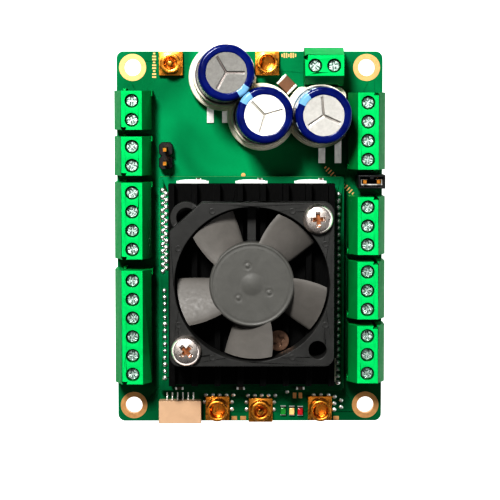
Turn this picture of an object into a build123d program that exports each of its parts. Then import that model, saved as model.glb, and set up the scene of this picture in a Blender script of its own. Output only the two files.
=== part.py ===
from build123d import *
import math
import os

# A motor driver: a carrier board that holds a power module, its heatsink and fan, three supply capacitors,
# screw terminals along both long sides, and small connectors.
# Millimetres. The origin is the centre of the four mounting holes, on the underside of the carrier board.
# +Z points up out of the board, and +Y points to the end with the capacitors.

# Carrier board and its mounting holes
BOARD_W = 50.0
BOARD_L = 70.0
BOARD_T = 1.6
BOARD_CORNER = 1.3
HOLE_DX = 44.0
HOLE_DY = 64.0
HOLE_R = 1.6
PLATING_T = 0.05
PLATING_R = 2.55
POST_HOLE_R = 0.5
TAIL_HOLE_R = 0.6

# Power module: a second board that stands on pin strips over the carrier
MODULE_X = 0.3
MODULE_Y = -8.6
MODULE_W = 34.8
MODULE_L = 40.4
MODULE_T = 1.0
MODULE_CORNER = 0.6
STRIP_H = 2.0
STRIP_W = 1.1
PIN_PITCH = 1.27
PIN_SIDE = 0.4
PIN_HOLE_R = 0.32
PIN_ROW_X = 16.3
PIN_STAGGER = 0.7
PIN_ABOVE = 0.3
PIN_BELOW = 1.2
SOLDER_R = 0.47
SOLDER_H = 0.25
RIGHT_PINS = 29
RIGHT_Y = -9.5
UPPER_PINS = 13
UPPER_Y = 1.4
LOWER_PINS = 14
LOWER_Y = -18.1
TRANSISTOR_H = 1.0
PAD_T = 0.5
PAD_OVERHANG = 0.25
PAD_W = 6.0
PAD_L = 17.0
PHASE_PITCH = 11.0
TRANSISTOR_W = 5.0
TRANSISTOR_L = 6.0
TRANSISTOR_ROWS = (2.0, -4.5)
CONTROLLER_SIDE = 7.0
CONTROLLER_H = 0.85
CONTROLLER_Y = -15.5
DRIVER_SIDE = 4.0
DRIVER_H = 0.8
DRIVER_Y = -23.4
UPPER_CHIPS_X = (-9.6, 1.9, 13.3)
UPPER_CHIPS_Y = 11.1
UPPER_CHIP_L = 1.0
UPPER_CHIP_W = 0.5
LOWER_CHIPS_X = (-13.3, -1.75, 9.5)
LOWER_CHIPS_Y = -28.3
LOWER_CHIP_L = 1.6
LOWER_CHIP_W = 0.6

# Heatsink
SINK_Y = -8.4
SINK_W = 30.8
SINK_L = 37.6
SINK_BASE_T = 1.5
FIN_H = 2.6
FIN_T = 1.15
FIN_COUNT = 8
SINK_SCREW_DX = 5.0
SINK_SCREW_DY = -10.4
SINK_HOLE_R = 1.1
SINK_SHANK_R = 1.0
SINK_HEAD_R = 2.0
SINK_HEAD_H = 1.3
SINK_RECESS_W = 2.2
SINK_RECESS_H = 0.7
NUT_R = 2.1
NUT_H = 1.5
NUT_BORE_R = 1.02
BOSS_R = 2.6
M3_HOLE_R = 1.5
M3_SHANK_R = 1.45
M3_BLIND = 0.4
M3_HEAD_R = 2.75
M3_HEAD_H = 1.9
M3_HEAD_ROUND = 1.1
M3_RECESS_W = 2.9
M3_RECESS_H = 1.1
M3_TURNS = (4, 45)

# Fan, 30 mm square
FAN_Y = -7.7
FAN_SIDE = 30.0
FAN_H = 6.0
FAN_BORE_R = 14.15
FAN_DUCT_R = 14.9
FAN_CORNER = 1.8
FAN_HOLE = 12.0
FLANGE_T = 1.5
FLANGE_HOLE_R = 1.6
CORNER_RELIEF_R = 2.7
CORNER_CUT = (15.0, 7.8, 42)
HOOK_R = 3.0
HOOK_BORE_R = 1.8
HOOK_H = 2.4
HOOK_GAP = (0.6, 3.2)
MOTOR_BASE_R = 7.0
MOTOR_BASE_T = 1.0
STRUT_W = 1.6
STRUT_TURNS = (90, 210, 330)
BEARING_R = 2.0
BEARING_Z = 0.4
BEARING_TUBE_R = 2.6
BEARING_TUBE_H = 4.4
SHAFT_R = 0.75
SHAFT_GAP = 0.05
HUB_R = 7.8
HUB_WALL = 0.8
HUB_TOP = 5.9
HUB_CHAMFER = 0.3
SKIRT_Z = 1.5
MAGNET_R = 6.1
POLE_TURNS = (45, 135, 225, 315)
CORE_R = 3.2
CORE_Z = (2.3, 4.1)
POLE_W = 1.4
POLE_R = 5.2
SHOE_R = 5.7
SHOE_W = 5.2
COIL_R = (3.4, 4.8)
COIL_Z = (1.75, 4.65)
COIL_W = 2.6
COIL_GAP = 0.02
CIRCUIT_R = 5.8
CIRCUIT_T = 0.6
BLADE_TIP_R = 13.75
BLADES = 5
BLADE_T = 0.7
BLADE_SWEEP = 10.8
BLADE_ARC = 40.0
BLADE_LEAD = 8.3
BLADE_TOP = 5.5
BLADE_FOOT = 1.7

# Capacitors: (x, y of the foot, x, y of the top)
CAPACITORS = [
    (-5.1, 30.2, -4.3, 30.85),
    (2.15, 22.75, 2.65, 23.2),
    (13.1, 23.25, 13.3, 23.1),
]
CAN_R = 5.0
SLEEVE_T = 0.15
CAN_TOP_Z = 17.4
DISC_R = 3.9
CUP_R = 6.35
CUP_BORE_R = 5.5
CUP_H = 2.9
CUP_FLOOR = 0.8
CUP_STEP = 0.4
CUP_STEP_H = 0.8
CUP_FLATS = [(18.1, 20.0, 16.0, 30.0), (9.5, 20.0, 28.4, 31.0), (0.9, 2.0, 30.2, 33.0)]
CAN_LIFT = 0.02
CAN_HEADROOM = 0.6
CAN_EDGE = 0.5
GROOVE_Z = 2.6
GROOVE_R = 0.7
GROOVE_OUT = 0.35
VENT_TURNS = (120, 15, 95)
VENT_SHARE = 0.84
VENT_W = 0.3
VENT_DEPTH = 0.1
LEAD_W = 1.3
LEAD_T = 0.3
LEAD_GAP = 0.05
LEAD_ROOT = 1.0
LEAD_PIN = 0.6
LEAD_PIN_R = 0.4
CHIP_PLACE = (6.95, 28.85)
CHIP_SIZE = (3.2, 2.5, 2.0)
CHIP_TURN = -45

# Screw terminals, 3.5 mm pitch; "depth" runs in from the outer face, where the wires enter
POLE_PITCH = 3.5
BLOCK_D = 6.8
BLOCK_H = 8.5
BLOCK_OVERHANG = 0.2
BLOCK_END = 0.125
TOP_BLOCK_OVERHANG = 0.6
SCREW_D = 3.4
SCREW_HEAD_R = 1.12
SCREW_HEAD_H = 0.95
SCREW_SLOT = (2.4, 0.36, 0.45)
SCREW_BORE_R = 1.25
SCREW_TURN_STEP = 67
THREAD_R = 0.8
CLAMP_GAP = 0.05
BLOCK_SHOULDER_Z = 4.6
BLOCK_TOP_X = (1.4, 5.3)
BLOCK_BACK_Z = 5.6
RIB_X = 1.9
RIB_ROOT = 0.2
RIB_TIP = 0.36
RIB_OUT = 0.4
RIB_H = 4.4
RIB_GAP = 0.1
BACK_RIB = (0.25, 1.0, 5.2)
ENTRY_W = 2.3
ENTRY_DEPTH = 1.0
ENTRY_Z = (0.9, 3.9)
CHAMBER_X = (0.95, 5.95)
CHAMBER_W = 2.6
CHAMBER_Z = (0.6, 6.2)
SHOULDER_Z = 6.7
TAIL_D = 5.3
TAIL_SLOT = (1.0, 1.2)
CAGE_X = (1.4, 5.0)
CAGE_W = 2.3
CAGE_Z = 0.75
CAGE_H = 4.3
CAGE_SIDE_T = 0.35
CAGE_FLOOR_T = 0.5
CAGE_TOP_T = 0.9
BAR_X = (1.1, 5.5)
BAR_Z = 3.5
BAR_T = 0.4
BAR_W = 1.3
LEG_W = 1.0
TAIL_W = 0.8
TAIL_BELOW = 1.6
LEFT_BLOCKS = [(2, 24.0), (2, 15.55), (4, 3.55), (6, -16.25)]
RIGHT_BLOCKS = [(4, 20.15), (3, 2.6), (3, -9.4), (3, -21.35)]
TOP_BLOCK = (2, 13.75)

# Small connectors
PIN_CONTACTS = [(-14.8, 32.7), (2.05, -32.85)]
SOCKET_CONTACTS = [(3.3, 32.75), (-6.15, -32.5), (13.3, -32.5)]
CONTACT_BASE = 4.5
CONTACT_BASE_T = 1.0
PIN_BOSS_R = 1.9
PIN_WELL_R = 1.15
PIN_BOSS_H = 1.8
CONTACT_PIN_R = 0.6
CONTACT_PIN_H = 2.6
BARREL_R = 1.95
BARREL_BORE_R = 1.4
BARREL_H = 3.6
BARREL_FLOOR = 0.4
SIGNAL_X = -13.2
SIGNAL_Y = -32.95
SIGNAL_PINS = 6
SIGNAL_PITCH = 1.0
SIGNAL_W = 8.0
SIGNAL_L = 4.25
SIGNAL_H = 2.95
MOUTH_W = 6.0
MOUTH_DEPTH = 3.2
MOUTH_Z = (0.6, 2.3)
SIGNAL_PIN_W = 0.28
SIGNAL_PIN_Z = (1.02, 1.28)
SIGNAL_SLOT_W = 0.3
SIGNAL_SLOT_Z = (1.0, 1.3)
SIGNAL_PIN_START = 1.0
SIGNAL_BEND = (0.1, 0.35)
SIGNAL_FOOT = 1.3
SIGNAL_FOOT_T = 0.25
HEADER_PITCH = 2.54
POST_SIDE = 0.64
POST_TOP = 8.4
POST_BELOW = 1.4
HEADER_H = 2.5
HEADER_CHAMFER = 0.5
LEFT_HEADER = (-15.75, 15.45)
JUMPER_HEADER = (22.5, 10.8)
JUMPER_H = 6.0
JUMPER_Z = 2.6
JUMPER_W = 5.0
JUMPER_L = 2.5
JUMPER_WALL = 0.4
JUMPER_KEY = (0.8, 0.4)
CLIP_Z = 3.0
CLIP_H = 4.6
CLIP_T = 0.25
CLIP_HALF = 2.0
CLIP_GAP = 0.08
CLIP_GRIP = (0.5, 0.05)
CLIP_END = (0.55, 0.15)
LEDS = [("led_green", 6.35, -33.0), ("led_amber", 8.0, -33.05), ("led_red", 9.6, -33.1)]
LED_W = 1.1
LED_L = 1.9
LED_BASE_T = 0.4
LENS_L = 1.3
LENS_TOP = 0.9

# Heights worked out from the stack
STRIP_Z = BOARD_T + STRIP_H
MODULE_TOP = STRIP_Z + MODULE_T
PAD_Z = MODULE_TOP + TRANSISTOR_H
SINK_Z = PAD_Z + PAD_T
FIN_Z = SINK_Z + SINK_BASE_T
FAN_Z = FIN_Z + FIN_H
FAN_TOP = FAN_Z + FAN_H


def block(x0, x1, y0, y1, z0, z1):
    """A box given by its faces."""
    return Pos((x0 + x1) / 2, (y0 + y1) / 2, (z0 + z1) / 2) * Box(x1 - x0, y1 - y0, z1 - z0)


def slab(x, y, width, length, z0, z1):
    """A box given by its middle in plan and its two heights."""
    return Pos(x, y, (z0 + z1) / 2) * Box(width, length, z1 - z0)


def rod(x, y, radius, z0, z1):
    """An upright cylinder between two heights."""
    return Pos(x, y, (z0 + z1) / 2) * Cylinder(radius, z1 - z0)


def tube(x, y, outer, inner, z0, z1):
    """An upright tube between two heights."""
    return rod(x, y, outer, z0, z1) - rod(x, y, inner, z0, z1)


def rounded_plate(x, y, width, length, radius, z0, z1):
    """A plate with rounded upright corners."""
    outline = RectangleRounded(width, length, radius)
    return Pos(x, y, z0) * extrude(outline, z1 - z0)


def evenly(count, pitch):
    """Places of a row of things, centred on zero."""
    return [(i - (count - 1) / 2) * pitch for i in range(count)]


def polar(radius, degrees):
    """Plan position at a radius and an angle."""
    angle = math.radians(degrees)
    return radius * math.cos(angle), radius * math.sin(angle)


def cross_recess(x, y, top, size, depth, turn):
    """The cross of a screwdriver recess, cut down from a height."""
    arm = Box(size, size * 0.27, depth) + Box(size * 0.27, size, depth)
    return Pos(x, y, top - depth / 2) * Rot(0, 0, turn) * arm


def save(name, solids):
    """Write one named sub-part; a list becomes a group of separate solids."""
    if isinstance(solids, list):
        solids = Compound(children=[solid for item in solids for solid in item.solids()])
    solids.label = name
    export_step(solids, f"parts/{name}.step")


# ---- places that several sub-parts share ----------------------------------------------------------------

def mounting_holes():
    """Centres of the four mounting holes."""
    return [(x, y) for x in (-HOLE_DX / 2, HOLE_DX / 2) for y in (-HOLE_DY / 2, HOLE_DY / 2)]


def module_pin_places():
    """Every pin of the three strips; the upper left strip has a second, staggered row."""
    places = [(MODULE_X + PIN_ROW_X, RIGHT_Y + y) for y in evenly(RIGHT_PINS, PIN_PITCH)]
    places += [(MODULE_X - PIN_ROW_X, LOWER_Y + y) for y in evenly(LOWER_PINS, PIN_PITCH)]
    outer_x = MODULE_X - PIN_ROW_X - PIN_STAGGER / 2
    places += [(outer_x, UPPER_Y + y) for y in evenly(UPPER_PINS, PIN_PITCH)]
    places += [(outer_x + PIN_STAGGER, UPPER_Y + y) for y in evenly(UPPER_PINS - 1, PIN_PITCH)]
    return places


def fan_place(dx, dy):
    """A plan position measured from the fan's axis."""
    return MODULE_X + dx, FAN_Y + dy


def sink_screw_places():
    """The two screws that hold the heatsink down on the module."""
    return [
        (MODULE_X + SINK_SCREW_DX, SINK_Y + SINK_SCREW_DY),
        (MODULE_X - SINK_SCREW_DX, SINK_Y - SINK_SCREW_DY),
    ]


def fan_screw_places():
    """The fan is held at two opposite corners."""
    return [fan_place(FAN_HOLE, FAN_HOLE), fan_place(-FAN_HOLE, -FAN_HOLE)]


def terminal_blocks():
    """Name, pole count and placement of each terminal block; local +X runs in from the outer face."""
    blocks = []
    edge = BOARD_W / 2 + BLOCK_OVERHANG
    for i, (poles, y) in enumerate(LEFT_BLOCKS):
        blocks.append((f"terminal_block_left_{i + 1}", poles, Pos(-edge, y, BOARD_T)))
    for i, (poles, y) in enumerate(RIGHT_BLOCKS):
        blocks.append((f"terminal_block_right_{i + 1}", poles, Pos(edge, y, BOARD_T) * Rot(0, 0, 180)))
    poles, x = TOP_BLOCK
    top = Pos(x, BOARD_L / 2 + TOP_BLOCK_OVERHANG, BOARD_T) * Rot(0, 0, -90)
    blocks.append(("terminal_block_top", poles, top))
    return blocks


def header_posts():
    """The four posts of the two pin headers."""
    left = [(LEFT_HEADER[0], LEFT_HEADER[1] + y) for y in evenly(2, HEADER_PITCH)]
    right = [(JUMPER_HEADER[0] + x, JUMPER_HEADER[1]) for x in evenly(2, HEADER_PITCH)]
    return left + right


# ---- carrier board --------------------------------------------------------------------------------------

def carrier_board():
    board = rounded_plate(0, 0, BOARD_W, BOARD_L, BOARD_CORNER, 0, BOARD_T)
    holes = [rod(x, y, HOLE_R + PLATING_T, 0, BOARD_T) for x, y in mounting_holes()]
    holes += [rod(x, y, PIN_HOLE_R, 0, BOARD_T) for x, y in module_pin_places()]
    holes += [rod(x, y, POST_HOLE_R, 0, BOARD_T) for x, y in header_posts()]
    for _, poles, place in terminal_blocks():
        for v in evenly(poles, POLE_PITCH):
            tail = place * Pos(TAIL_D, v, 0)
            holes.append(rod(tail.position.X, tail.position.Y, TAIL_HOLE_R, 0, BOARD_T))
    return board - holes


def hole_plating():
    rings = []
    for x, y in mounting_holes():
        barrel = rod(x, y, HOLE_R + PLATING_T, -PLATING_T, BOARD_T + PLATING_T)
        for z in (-PLATING_T, BOARD_T):
            barrel += rod(x, y, PLATING_R, z, z + PLATING_T)
        rings.append(barrel - rod(x, y, HOLE_R, -PLATING_T, BOARD_T + PLATING_T))
    return rings


# ---- power module ---------------------------------------------------------------------------------------

def module_board():
    board = rounded_plate(MODULE_X, MODULE_Y, MODULE_W, MODULE_L, MODULE_CORNER, STRIP_Z, MODULE_TOP)
    holes = [rod(x, y, PIN_HOLE_R, STRIP_Z, MODULE_TOP) for x, y in module_pin_places()]
    holes += [rod(x, y, SINK_HOLE_R, STRIP_Z, MODULE_TOP) for x, y in sink_screw_places()]
    return board - holes


def module_headers():
    """Three plastic strips; the pins run through them."""
    right = slab(MODULE_X + PIN_ROW_X, RIGHT_Y, STRIP_W, RIGHT_PINS * PIN_PITCH, BOARD_T, STRIP_Z)
    lower = slab(MODULE_X - PIN_ROW_X, LOWER_Y, STRIP_W, LOWER_PINS * PIN_PITCH, BOARD_T, STRIP_Z)
    upper = slab(
        MODULE_X - PIN_ROW_X, UPPER_Y, STRIP_W + PIN_STAGGER, UPPER_PINS * PIN_PITCH, BOARD_T, STRIP_Z
    )
    holes = [slab(x, y, PIN_SIDE, PIN_SIDE, BOARD_T, STRIP_Z) for x, y in module_pin_places()]
    return [strip - holes for strip in (right, lower, upper)]


def module_pins():
    top = MODULE_TOP + PIN_ABOVE
    return [slab(x, y, PIN_SIDE, PIN_SIDE, -PIN_BELOW, top) for x, y in module_pin_places()]


def module_solder():
    """A ring of solder round each pin on the module's upper face."""
    inner = PIN_SIDE / 2 * math.sqrt(2) + 0.01
    profile = Plane.XZ * Polygon((inner, 0), (SOLDER_R, 0), (inner, SOLDER_H), align=None)
    ring = revolve(profile, Axis.Z)
    return [Pos(x, y, MODULE_TOP) * ring for x, y in module_pin_places()]


def power_transistors():
    """Two for each of the three phases, under the heat pads."""
    pieces = []
    for x in evenly(3, PHASE_PITCH):
        for y in TRANSISTOR_ROWS:
            pieces.append(slab(MODULE_X + x, y, TRANSISTOR_W, TRANSISTOR_L, MODULE_TOP, PAD_Z))
    return pieces


def module_chips():
    """The controller and three gate drivers, which stay below the heatsink."""
    side = CONTROLLER_SIDE
    chips = [slab(MODULE_X, CONTROLLER_Y, side, side, MODULE_TOP, MODULE_TOP + CONTROLLER_H)]
    for x in evenly(3, PHASE_PITCH):
        x += MODULE_X
        chips.append(slab(x, DRIVER_Y, DRIVER_SIDE, DRIVER_SIDE, MODULE_TOP, MODULE_TOP + DRIVER_H))
    return chips


def module_capacitors():
    """Small chip capacitors beside the two ends of the heatsink."""
    chips = []
    for x in UPPER_CHIPS_X:
        top = MODULE_TOP + UPPER_CHIP_W
        chips.append(slab(x, UPPER_CHIPS_Y, UPPER_CHIP_L, UPPER_CHIP_W, MODULE_TOP, top))
    for x in LOWER_CHIPS_X:
        top = MODULE_TOP + LOWER_CHIP_W
        chips.append(slab(x, LOWER_CHIPS_Y, LOWER_CHIP_L, LOWER_CHIP_W, MODULE_TOP, top))
    return chips


def thermal_pads():
    """One pad for each phase; their ends show a little past the heatsink."""
    end = SINK_Y + SINK_L / 2 + PAD_OVERHANG
    pads = []
    for x in evenly(3, PHASE_PITCH):
        left = MODULE_X + x - PAD_W / 2
        pads.append(block(left, left + PAD_W, end - PAD_L, end, PAD_Z, SINK_Z))
    return pads


def heatsink():
    body = slab(MODULE_X, SINK_Y, SINK_W, SINK_L, SINK_Z, FIN_Z)
    fins = evenly(FIN_COUNT, (SINK_W - FIN_T) / (FIN_COUNT - 1))
    body += [slab(MODULE_X + x, SINK_Y, FIN_T, SINK_L, FIN_Z, FAN_Z) for x in fins]
    outline = slab(MODULE_X, SINK_Y, SINK_W, SINK_L, FIN_Z, FAN_Z)
    body += [rod(x, y, BOSS_R, FIN_Z, FAN_Z) & outline for x, y in fan_screw_places()]
    body -= [rod(x, y, M3_HOLE_R, FIN_Z + M3_BLIND, FAN_Z) for x, y in fan_screw_places()]
    for x, y in sink_screw_places():
        body -= rod(x, y, SINK_HOLE_R, SINK_Z, FIN_Z)
        body -= rod(x, y, SINK_HEAD_R + 0.3, FIN_Z, FAN_Z)
    return body


def heatsink_screws():
    """M2 screws through the heatsink and the module, each with its nut under the module."""
    screws = []
    nut_z = STRIP_Z - NUT_H
    top = FIN_Z + SINK_HEAD_H
    for x, y in sink_screw_places():
        screw = rod(x, y, SINK_SHANK_R, nut_z, FIN_Z) + rod(x, y, SINK_HEAD_R, FIN_Z, top)
        screws.append(screw - cross_recess(x, y, top, SINK_RECESS_W, SINK_RECESS_H, 20))
        nut = Pos(x, y, nut_z) * extrude(RegularPolygon(NUT_R, 6), NUT_H)
        screws.append(nut - rod(x, y, NUT_BORE_R, nut_z, STRIP_Z))
    return screws


# ---- fan ------------------------------------------------------------------------------------------------

def fan_frame():
    """A square frame round a duct, with the motor seat on three struts at the lower face."""
    plate = extrude(RectangleRounded(FAN_SIDE, FAN_SIDE, FAN_CORNER), FAN_H)
    middle = Pos(0, 0, FLANGE_T) * extrude(Rectangle(FAN_SIDE, FAN_SIDE), FAN_H - 2 * FLANGE_T)
    middle -= rod(0, 0, FAN_DUCT_R, 0, FAN_H)
    corners = [(x, y) for x in (-FAN_HOLE, FAN_HOLE) for y in (-FAN_HOLE, FAN_HOLE)]
    middle -= [rod(x, y, CORNER_RELIEF_R, 0, FAN_H) for x, y in corners]
    body = plate - middle
    cut_l, cut_w, cut_turn = CORNER_CUT
    corner = FAN_SIDE / 2
    body -= Pos(-corner, corner, FAN_H / 2) * Rot(0, 0, cut_turn) * Box(cut_l, cut_w, FAN_H)
    hook = tube(-FAN_HOLE, FAN_HOLE, HOOK_R, HOOK_BORE_R, 0, HOOK_H)
    gap_x, gap_side = HOOK_GAP
    gap = Rot(0, 0, 45) * Box(gap_side, gap_side, HOOK_H)
    hook -= Pos(-FAN_HOLE - gap_x, FAN_HOLE - gap_side, HOOK_H / 2) * gap
    body += hook
    body -= [rod(x, y, FLANGE_HOLE_R, 0, FAN_H) for x, y in corners if (x, y) != (-FAN_HOLE, FAN_HOLE)]
    body -= rod(0, 0, FAN_BORE_R, 0, FAN_H)
    seat = rod(0, 0, MOTOR_BASE_R, 0, MOTOR_BASE_T) + rod(0, 0, BEARING_TUBE_R, 0, BEARING_TUBE_H)
    half = STRUT_W / 2
    for turn in STRUT_TURNS:
        strut = block(MOTOR_BASE_R - 1, (FAN_BORE_R + FAN_DUCT_R) / 2, -half, half, 0, MOTOR_BASE_T)
        seat += Rot(0, 0, turn) * strut
    seat -= rod(0, 0, BEARING_R, BEARING_Z, BEARING_TUBE_H)
    return Pos(MODULE_X, FAN_Y, FAN_Z) * (body + seat)


def blade():
    """One blade: its upper edge leads, and it falls away clockwise to its lower edge."""

    def edge_point(lead, along):
        root = polar(HUB_R, lead)
        tip = polar(BLADE_TIP_R, lead - BLADE_SWEEP)
        return root[0] + along * (tip[0] - root[0]), root[1] + along * (tip[1] - root[1])

    sections = []
    for along in (-0.12, 1.3):
        lead_x, lead_y = edge_point(BLADE_LEAD, along)
        trail_x, trail_y = edge_point(BLADE_LEAD - BLADE_ARC, along)
        corners = [
            (lead_x, lead_y, BLADE_TOP),
            (trail_x, trail_y, BLADE_FOOT + BLADE_T),
            (trail_x, trail_y, BLADE_FOOT),
            (lead_x, lead_y, BLADE_TOP - BLADE_T),
        ]
        sections.append(make_face(Polyline(*corners, close=True)))
    return loft(sections, ruled=True)


def fan_rotor():
    hub = rod(0, 0, HUB_R, SKIRT_Z, HUB_TOP) - rod(0, 0, HUB_R - HUB_WALL, SKIRT_Z, HUB_TOP - HUB_WALL)
    hub = chamfer(hub.edges().group_by(Axis.Z)[-1], HUB_CHAMFER)
    swept = blade() & tube(0, 0, BLADE_TIP_R, HUB_R - HUB_WALL + 0.2, SKIRT_Z, HUB_TOP)
    for turn in evenly(BLADES, 360 / BLADES):
        hub += Rot(0, 0, turn) * swept
    return Pos(MODULE_X, FAN_Y, FAN_Z) * hub


def fan_magnet():
    ring = tube(0, 0, HUB_R - HUB_WALL, MAGNET_R, SKIRT_Z + 0.2, HUB_TOP - HUB_WALL)
    return Pos(MODULE_X, FAN_Y, FAN_Z) * ring


def fan_shaft():
    return Pos(MODULE_X, FAN_Y, FAN_Z) * rod(0, 0, SHAFT_R, BEARING_Z + SHAFT_GAP, HUB_TOP - HUB_WALL)


def fan_bearing():
    return Pos(MODULE_X, FAN_Y, FAN_Z) * tube(0, 0, BEARING_R, SHAFT_R + SHAFT_GAP, BEARING_Z, BEARING_TUBE_H)


def fan_stator():
    """The four-pole iron core round the bearing tube."""
    core = rod(0, 0, CORE_R, *CORE_Z)
    pole = block(CORE_R - 0.4, POLE_R, -POLE_W / 2, POLE_W / 2, *CORE_Z)
    sector = block(POLE_R - 1.2, SHOE_R + 0.3, -SHOE_W / 2, SHOE_W / 2, *CORE_Z)
    shoe = tube(0, 0, SHOE_R, POLE_R - 0.2, *CORE_Z) & sector
    for turn in POLE_TURNS:
        core += Rot(0, 0, turn) * pole
        core += Rot(0, 0, turn) * shoe
    core -= rod(0, 0, BEARING_TUBE_R, *CORE_Z)
    return Pos(MODULE_X, FAN_Y, FAN_Z) * core


def fan_coils():
    """A winding round each pole."""
    coils = []
    window = POLE_W / 2 + COIL_GAP
    for turn in POLE_TURNS:
        winding = block(*COIL_R, -COIL_W / 2, COIL_W / 2, *COIL_Z)
        winding -= block(*COIL_R, -window, window, CORE_Z[0] - COIL_GAP, CORE_Z[1] + COIL_GAP)
        coils.append(Pos(MODULE_X, FAN_Y, FAN_Z) * Rot(0, 0, turn) * winding)
    return coils


def fan_circuit():
    ring = tube(0, 0, CIRCUIT_R, BEARING_TUBE_R + 0.1, MOTOR_BASE_T, MOTOR_BASE_T + CIRCUIT_T)
    return Pos(MODULE_X, FAN_Y, FAN_Z) * ring


def fan_screws():
    """M3 pan-head screws that run through the fan into the heatsink."""
    screws = []
    top = FAN_TOP + M3_HEAD_H
    for (x, y), turn in zip(fan_screw_places(), M3_TURNS):
        head = rod(x, y, M3_HEAD_R, FAN_TOP, top)
        head = fillet(head.edges().group_by(Axis.Z)[-1], M3_HEAD_ROUND)
        shank = rod(x, y, M3_SHANK_R, FIN_Z + M3_BLIND + 0.1, FAN_TOP)
        screws.append(head + shank - cross_recess(x, y, top, M3_RECESS_W, M3_RECESS_H, turn))
    return screws


# ---- capacitors -----------------------------------------------------------------------------------------

def lean_of(capacitor):
    """Placement of a leaning capacitor: its foot, and its axis towards its top."""
    foot_x, foot_y, top_x, top_y = capacitor
    foot_z = BOARD_T + CUP_FLOOR
    lean = Vector(top_x - foot_x, top_y - foot_y, CAN_TOP_Z - foot_z)
    tilt = math.atan2(math.hypot(lean.X, lean.Y), lean.Z)
    lift = (CAN_R + SLEEVE_T) * math.sin(tilt) + CAN_LIFT
    along = Vector(lean.Y, -lean.X, 0)
    side = Vector(1, 0, 0) if along.length < 0.001 else along
    return Plane(origin=(foot_x, foot_y, foot_z + lift), x_dir=side, z_dir=lean).location


def can_height():
    return CAN_TOP_Z - BOARD_T - CUP_FLOOR - CAN_HEADROOM


def capacitor_can(index):
    """An aluminium can with a rolled groove near its foot and a three-way vent scored in its top."""
    height = can_height()
    can = Cylinder(CAN_R, height, align=(Align.CENTER, Align.CENTER, Align.MIN))
    can = fillet(can.edges().group_by(Axis.Z)[-1], CAN_EDGE)
    can -= Pos(0, 0, GROOVE_Z) * Torus(CAN_R + GROOVE_OUT, GROOVE_R)
    reach = DISC_R * VENT_SHARE
    score = Pos(reach / 2, 0, height) * Box(reach, VENT_W, VENT_DEPTH * 2)
    for turn in (0, 120, 240):
        can -= Rot(0, 0, VENT_TURNS[index] + turn) * score
    return lean_of(CAPACITORS[index]) * can


def capacitor_sleeve(index):
    """A shrunk plastic sleeve that curls in over both ends of the can."""
    height = can_height()
    outside = Cylinder(CAN_R + SLEEVE_T, height + SLEEVE_T, align=(Align.CENTER, Align.CENTER, Align.MIN))
    outside = fillet(outside.edges().group_by(Axis.Z)[-1], CAN_EDGE + 0.1)
    inside = Cylinder(CAN_R, height, align=(Align.CENTER, Align.CENTER, Align.MIN))
    inside = fillet(inside.edges().group_by(Axis.Z)[-1], CAN_EDGE)
    mouth = Pos(0, 0, height / 2) * Cylinder(DISC_R, height * 2)
    return lean_of(CAPACITORS[index]) * (outside - inside - mouth)


def lead_routes():
    """Flat leads on the board: (x, y where it starts under the can, y where it ends)."""
    second = CAPACITORS[1]
    starts = [foot[1] - LEAD_ROOT for foot in CAPACITORS]
    hidden_end = second[1] - CUP_R + 0.75
    return [
        (-7.4, starts[0], 21.6),
        (-4.55, starts[0], 21.6),
        (second[0] - 1.5, starts[1], hidden_end),
        (second[0] + 1.5, starts[1], hidden_end),
        (13.6, starts[2], 14.0),
        (16.65, starts[2], 14.0),
    ]


def capacitor_holder():
    """One moulded holder of three cups that run into each other, with flats beside its neighbours."""
    feet = [(x, y) for x, y, _, _ in CAPACITORS]
    rim = BOARD_T + CUP_H
    body = rod(*feet[0], CUP_R, BOARD_T, rim) + [rod(x, y, CUP_R, BOARD_T, rim) for x, y in feet[1:]]
    body -= [rod(x, y, CUP_BORE_R, BOARD_T + CUP_FLOOR, rim) for x, y in feet]
    body -= [rod(x, y, CUP_BORE_R + CUP_STEP, rim - CUP_STEP_H, rim) for x, y in feet]
    body -= [block(*flat, BOARD_T, rim) for flat in CUP_FLATS]
    for x, start, end in lead_routes():
        half = LEAD_W / 2 + LEAD_GAP
        body -= block(x - half, x + half, end, start + LEAD_GAP, BOARD_T, BOARD_T + LEAD_T + LEAD_GAP)
        body -= rod(x, start - LEAD_PIN, LEAD_PIN_R + LEAD_GAP, BOARD_T, BOARD_T + CUP_FLOOR)
    return body


def capacitor_leads():
    leads = []
    for x, start, end in lead_routes():
        flat = block(x - LEAD_W / 2, x + LEAD_W / 2, end, start, BOARD_T, BOARD_T + LEAD_T)
        leads.append(flat + rod(x, start - LEAD_PIN, LEAD_PIN_R, BOARD_T, BOARD_T + CUP_FLOOR))
    return leads


def chip_capacitor():
    """A ceramic chip capacitor set at an angle beside the tall ones."""
    x, y = CHIP_PLACE
    return Pos(x, y, BOARD_T + CHIP_SIZE[2] / 2) * Rot(0, 0, CHIP_TURN) * Box(*CHIP_SIZE)


# ---- screw terminals ------------------------------------------------------------------------------------

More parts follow.
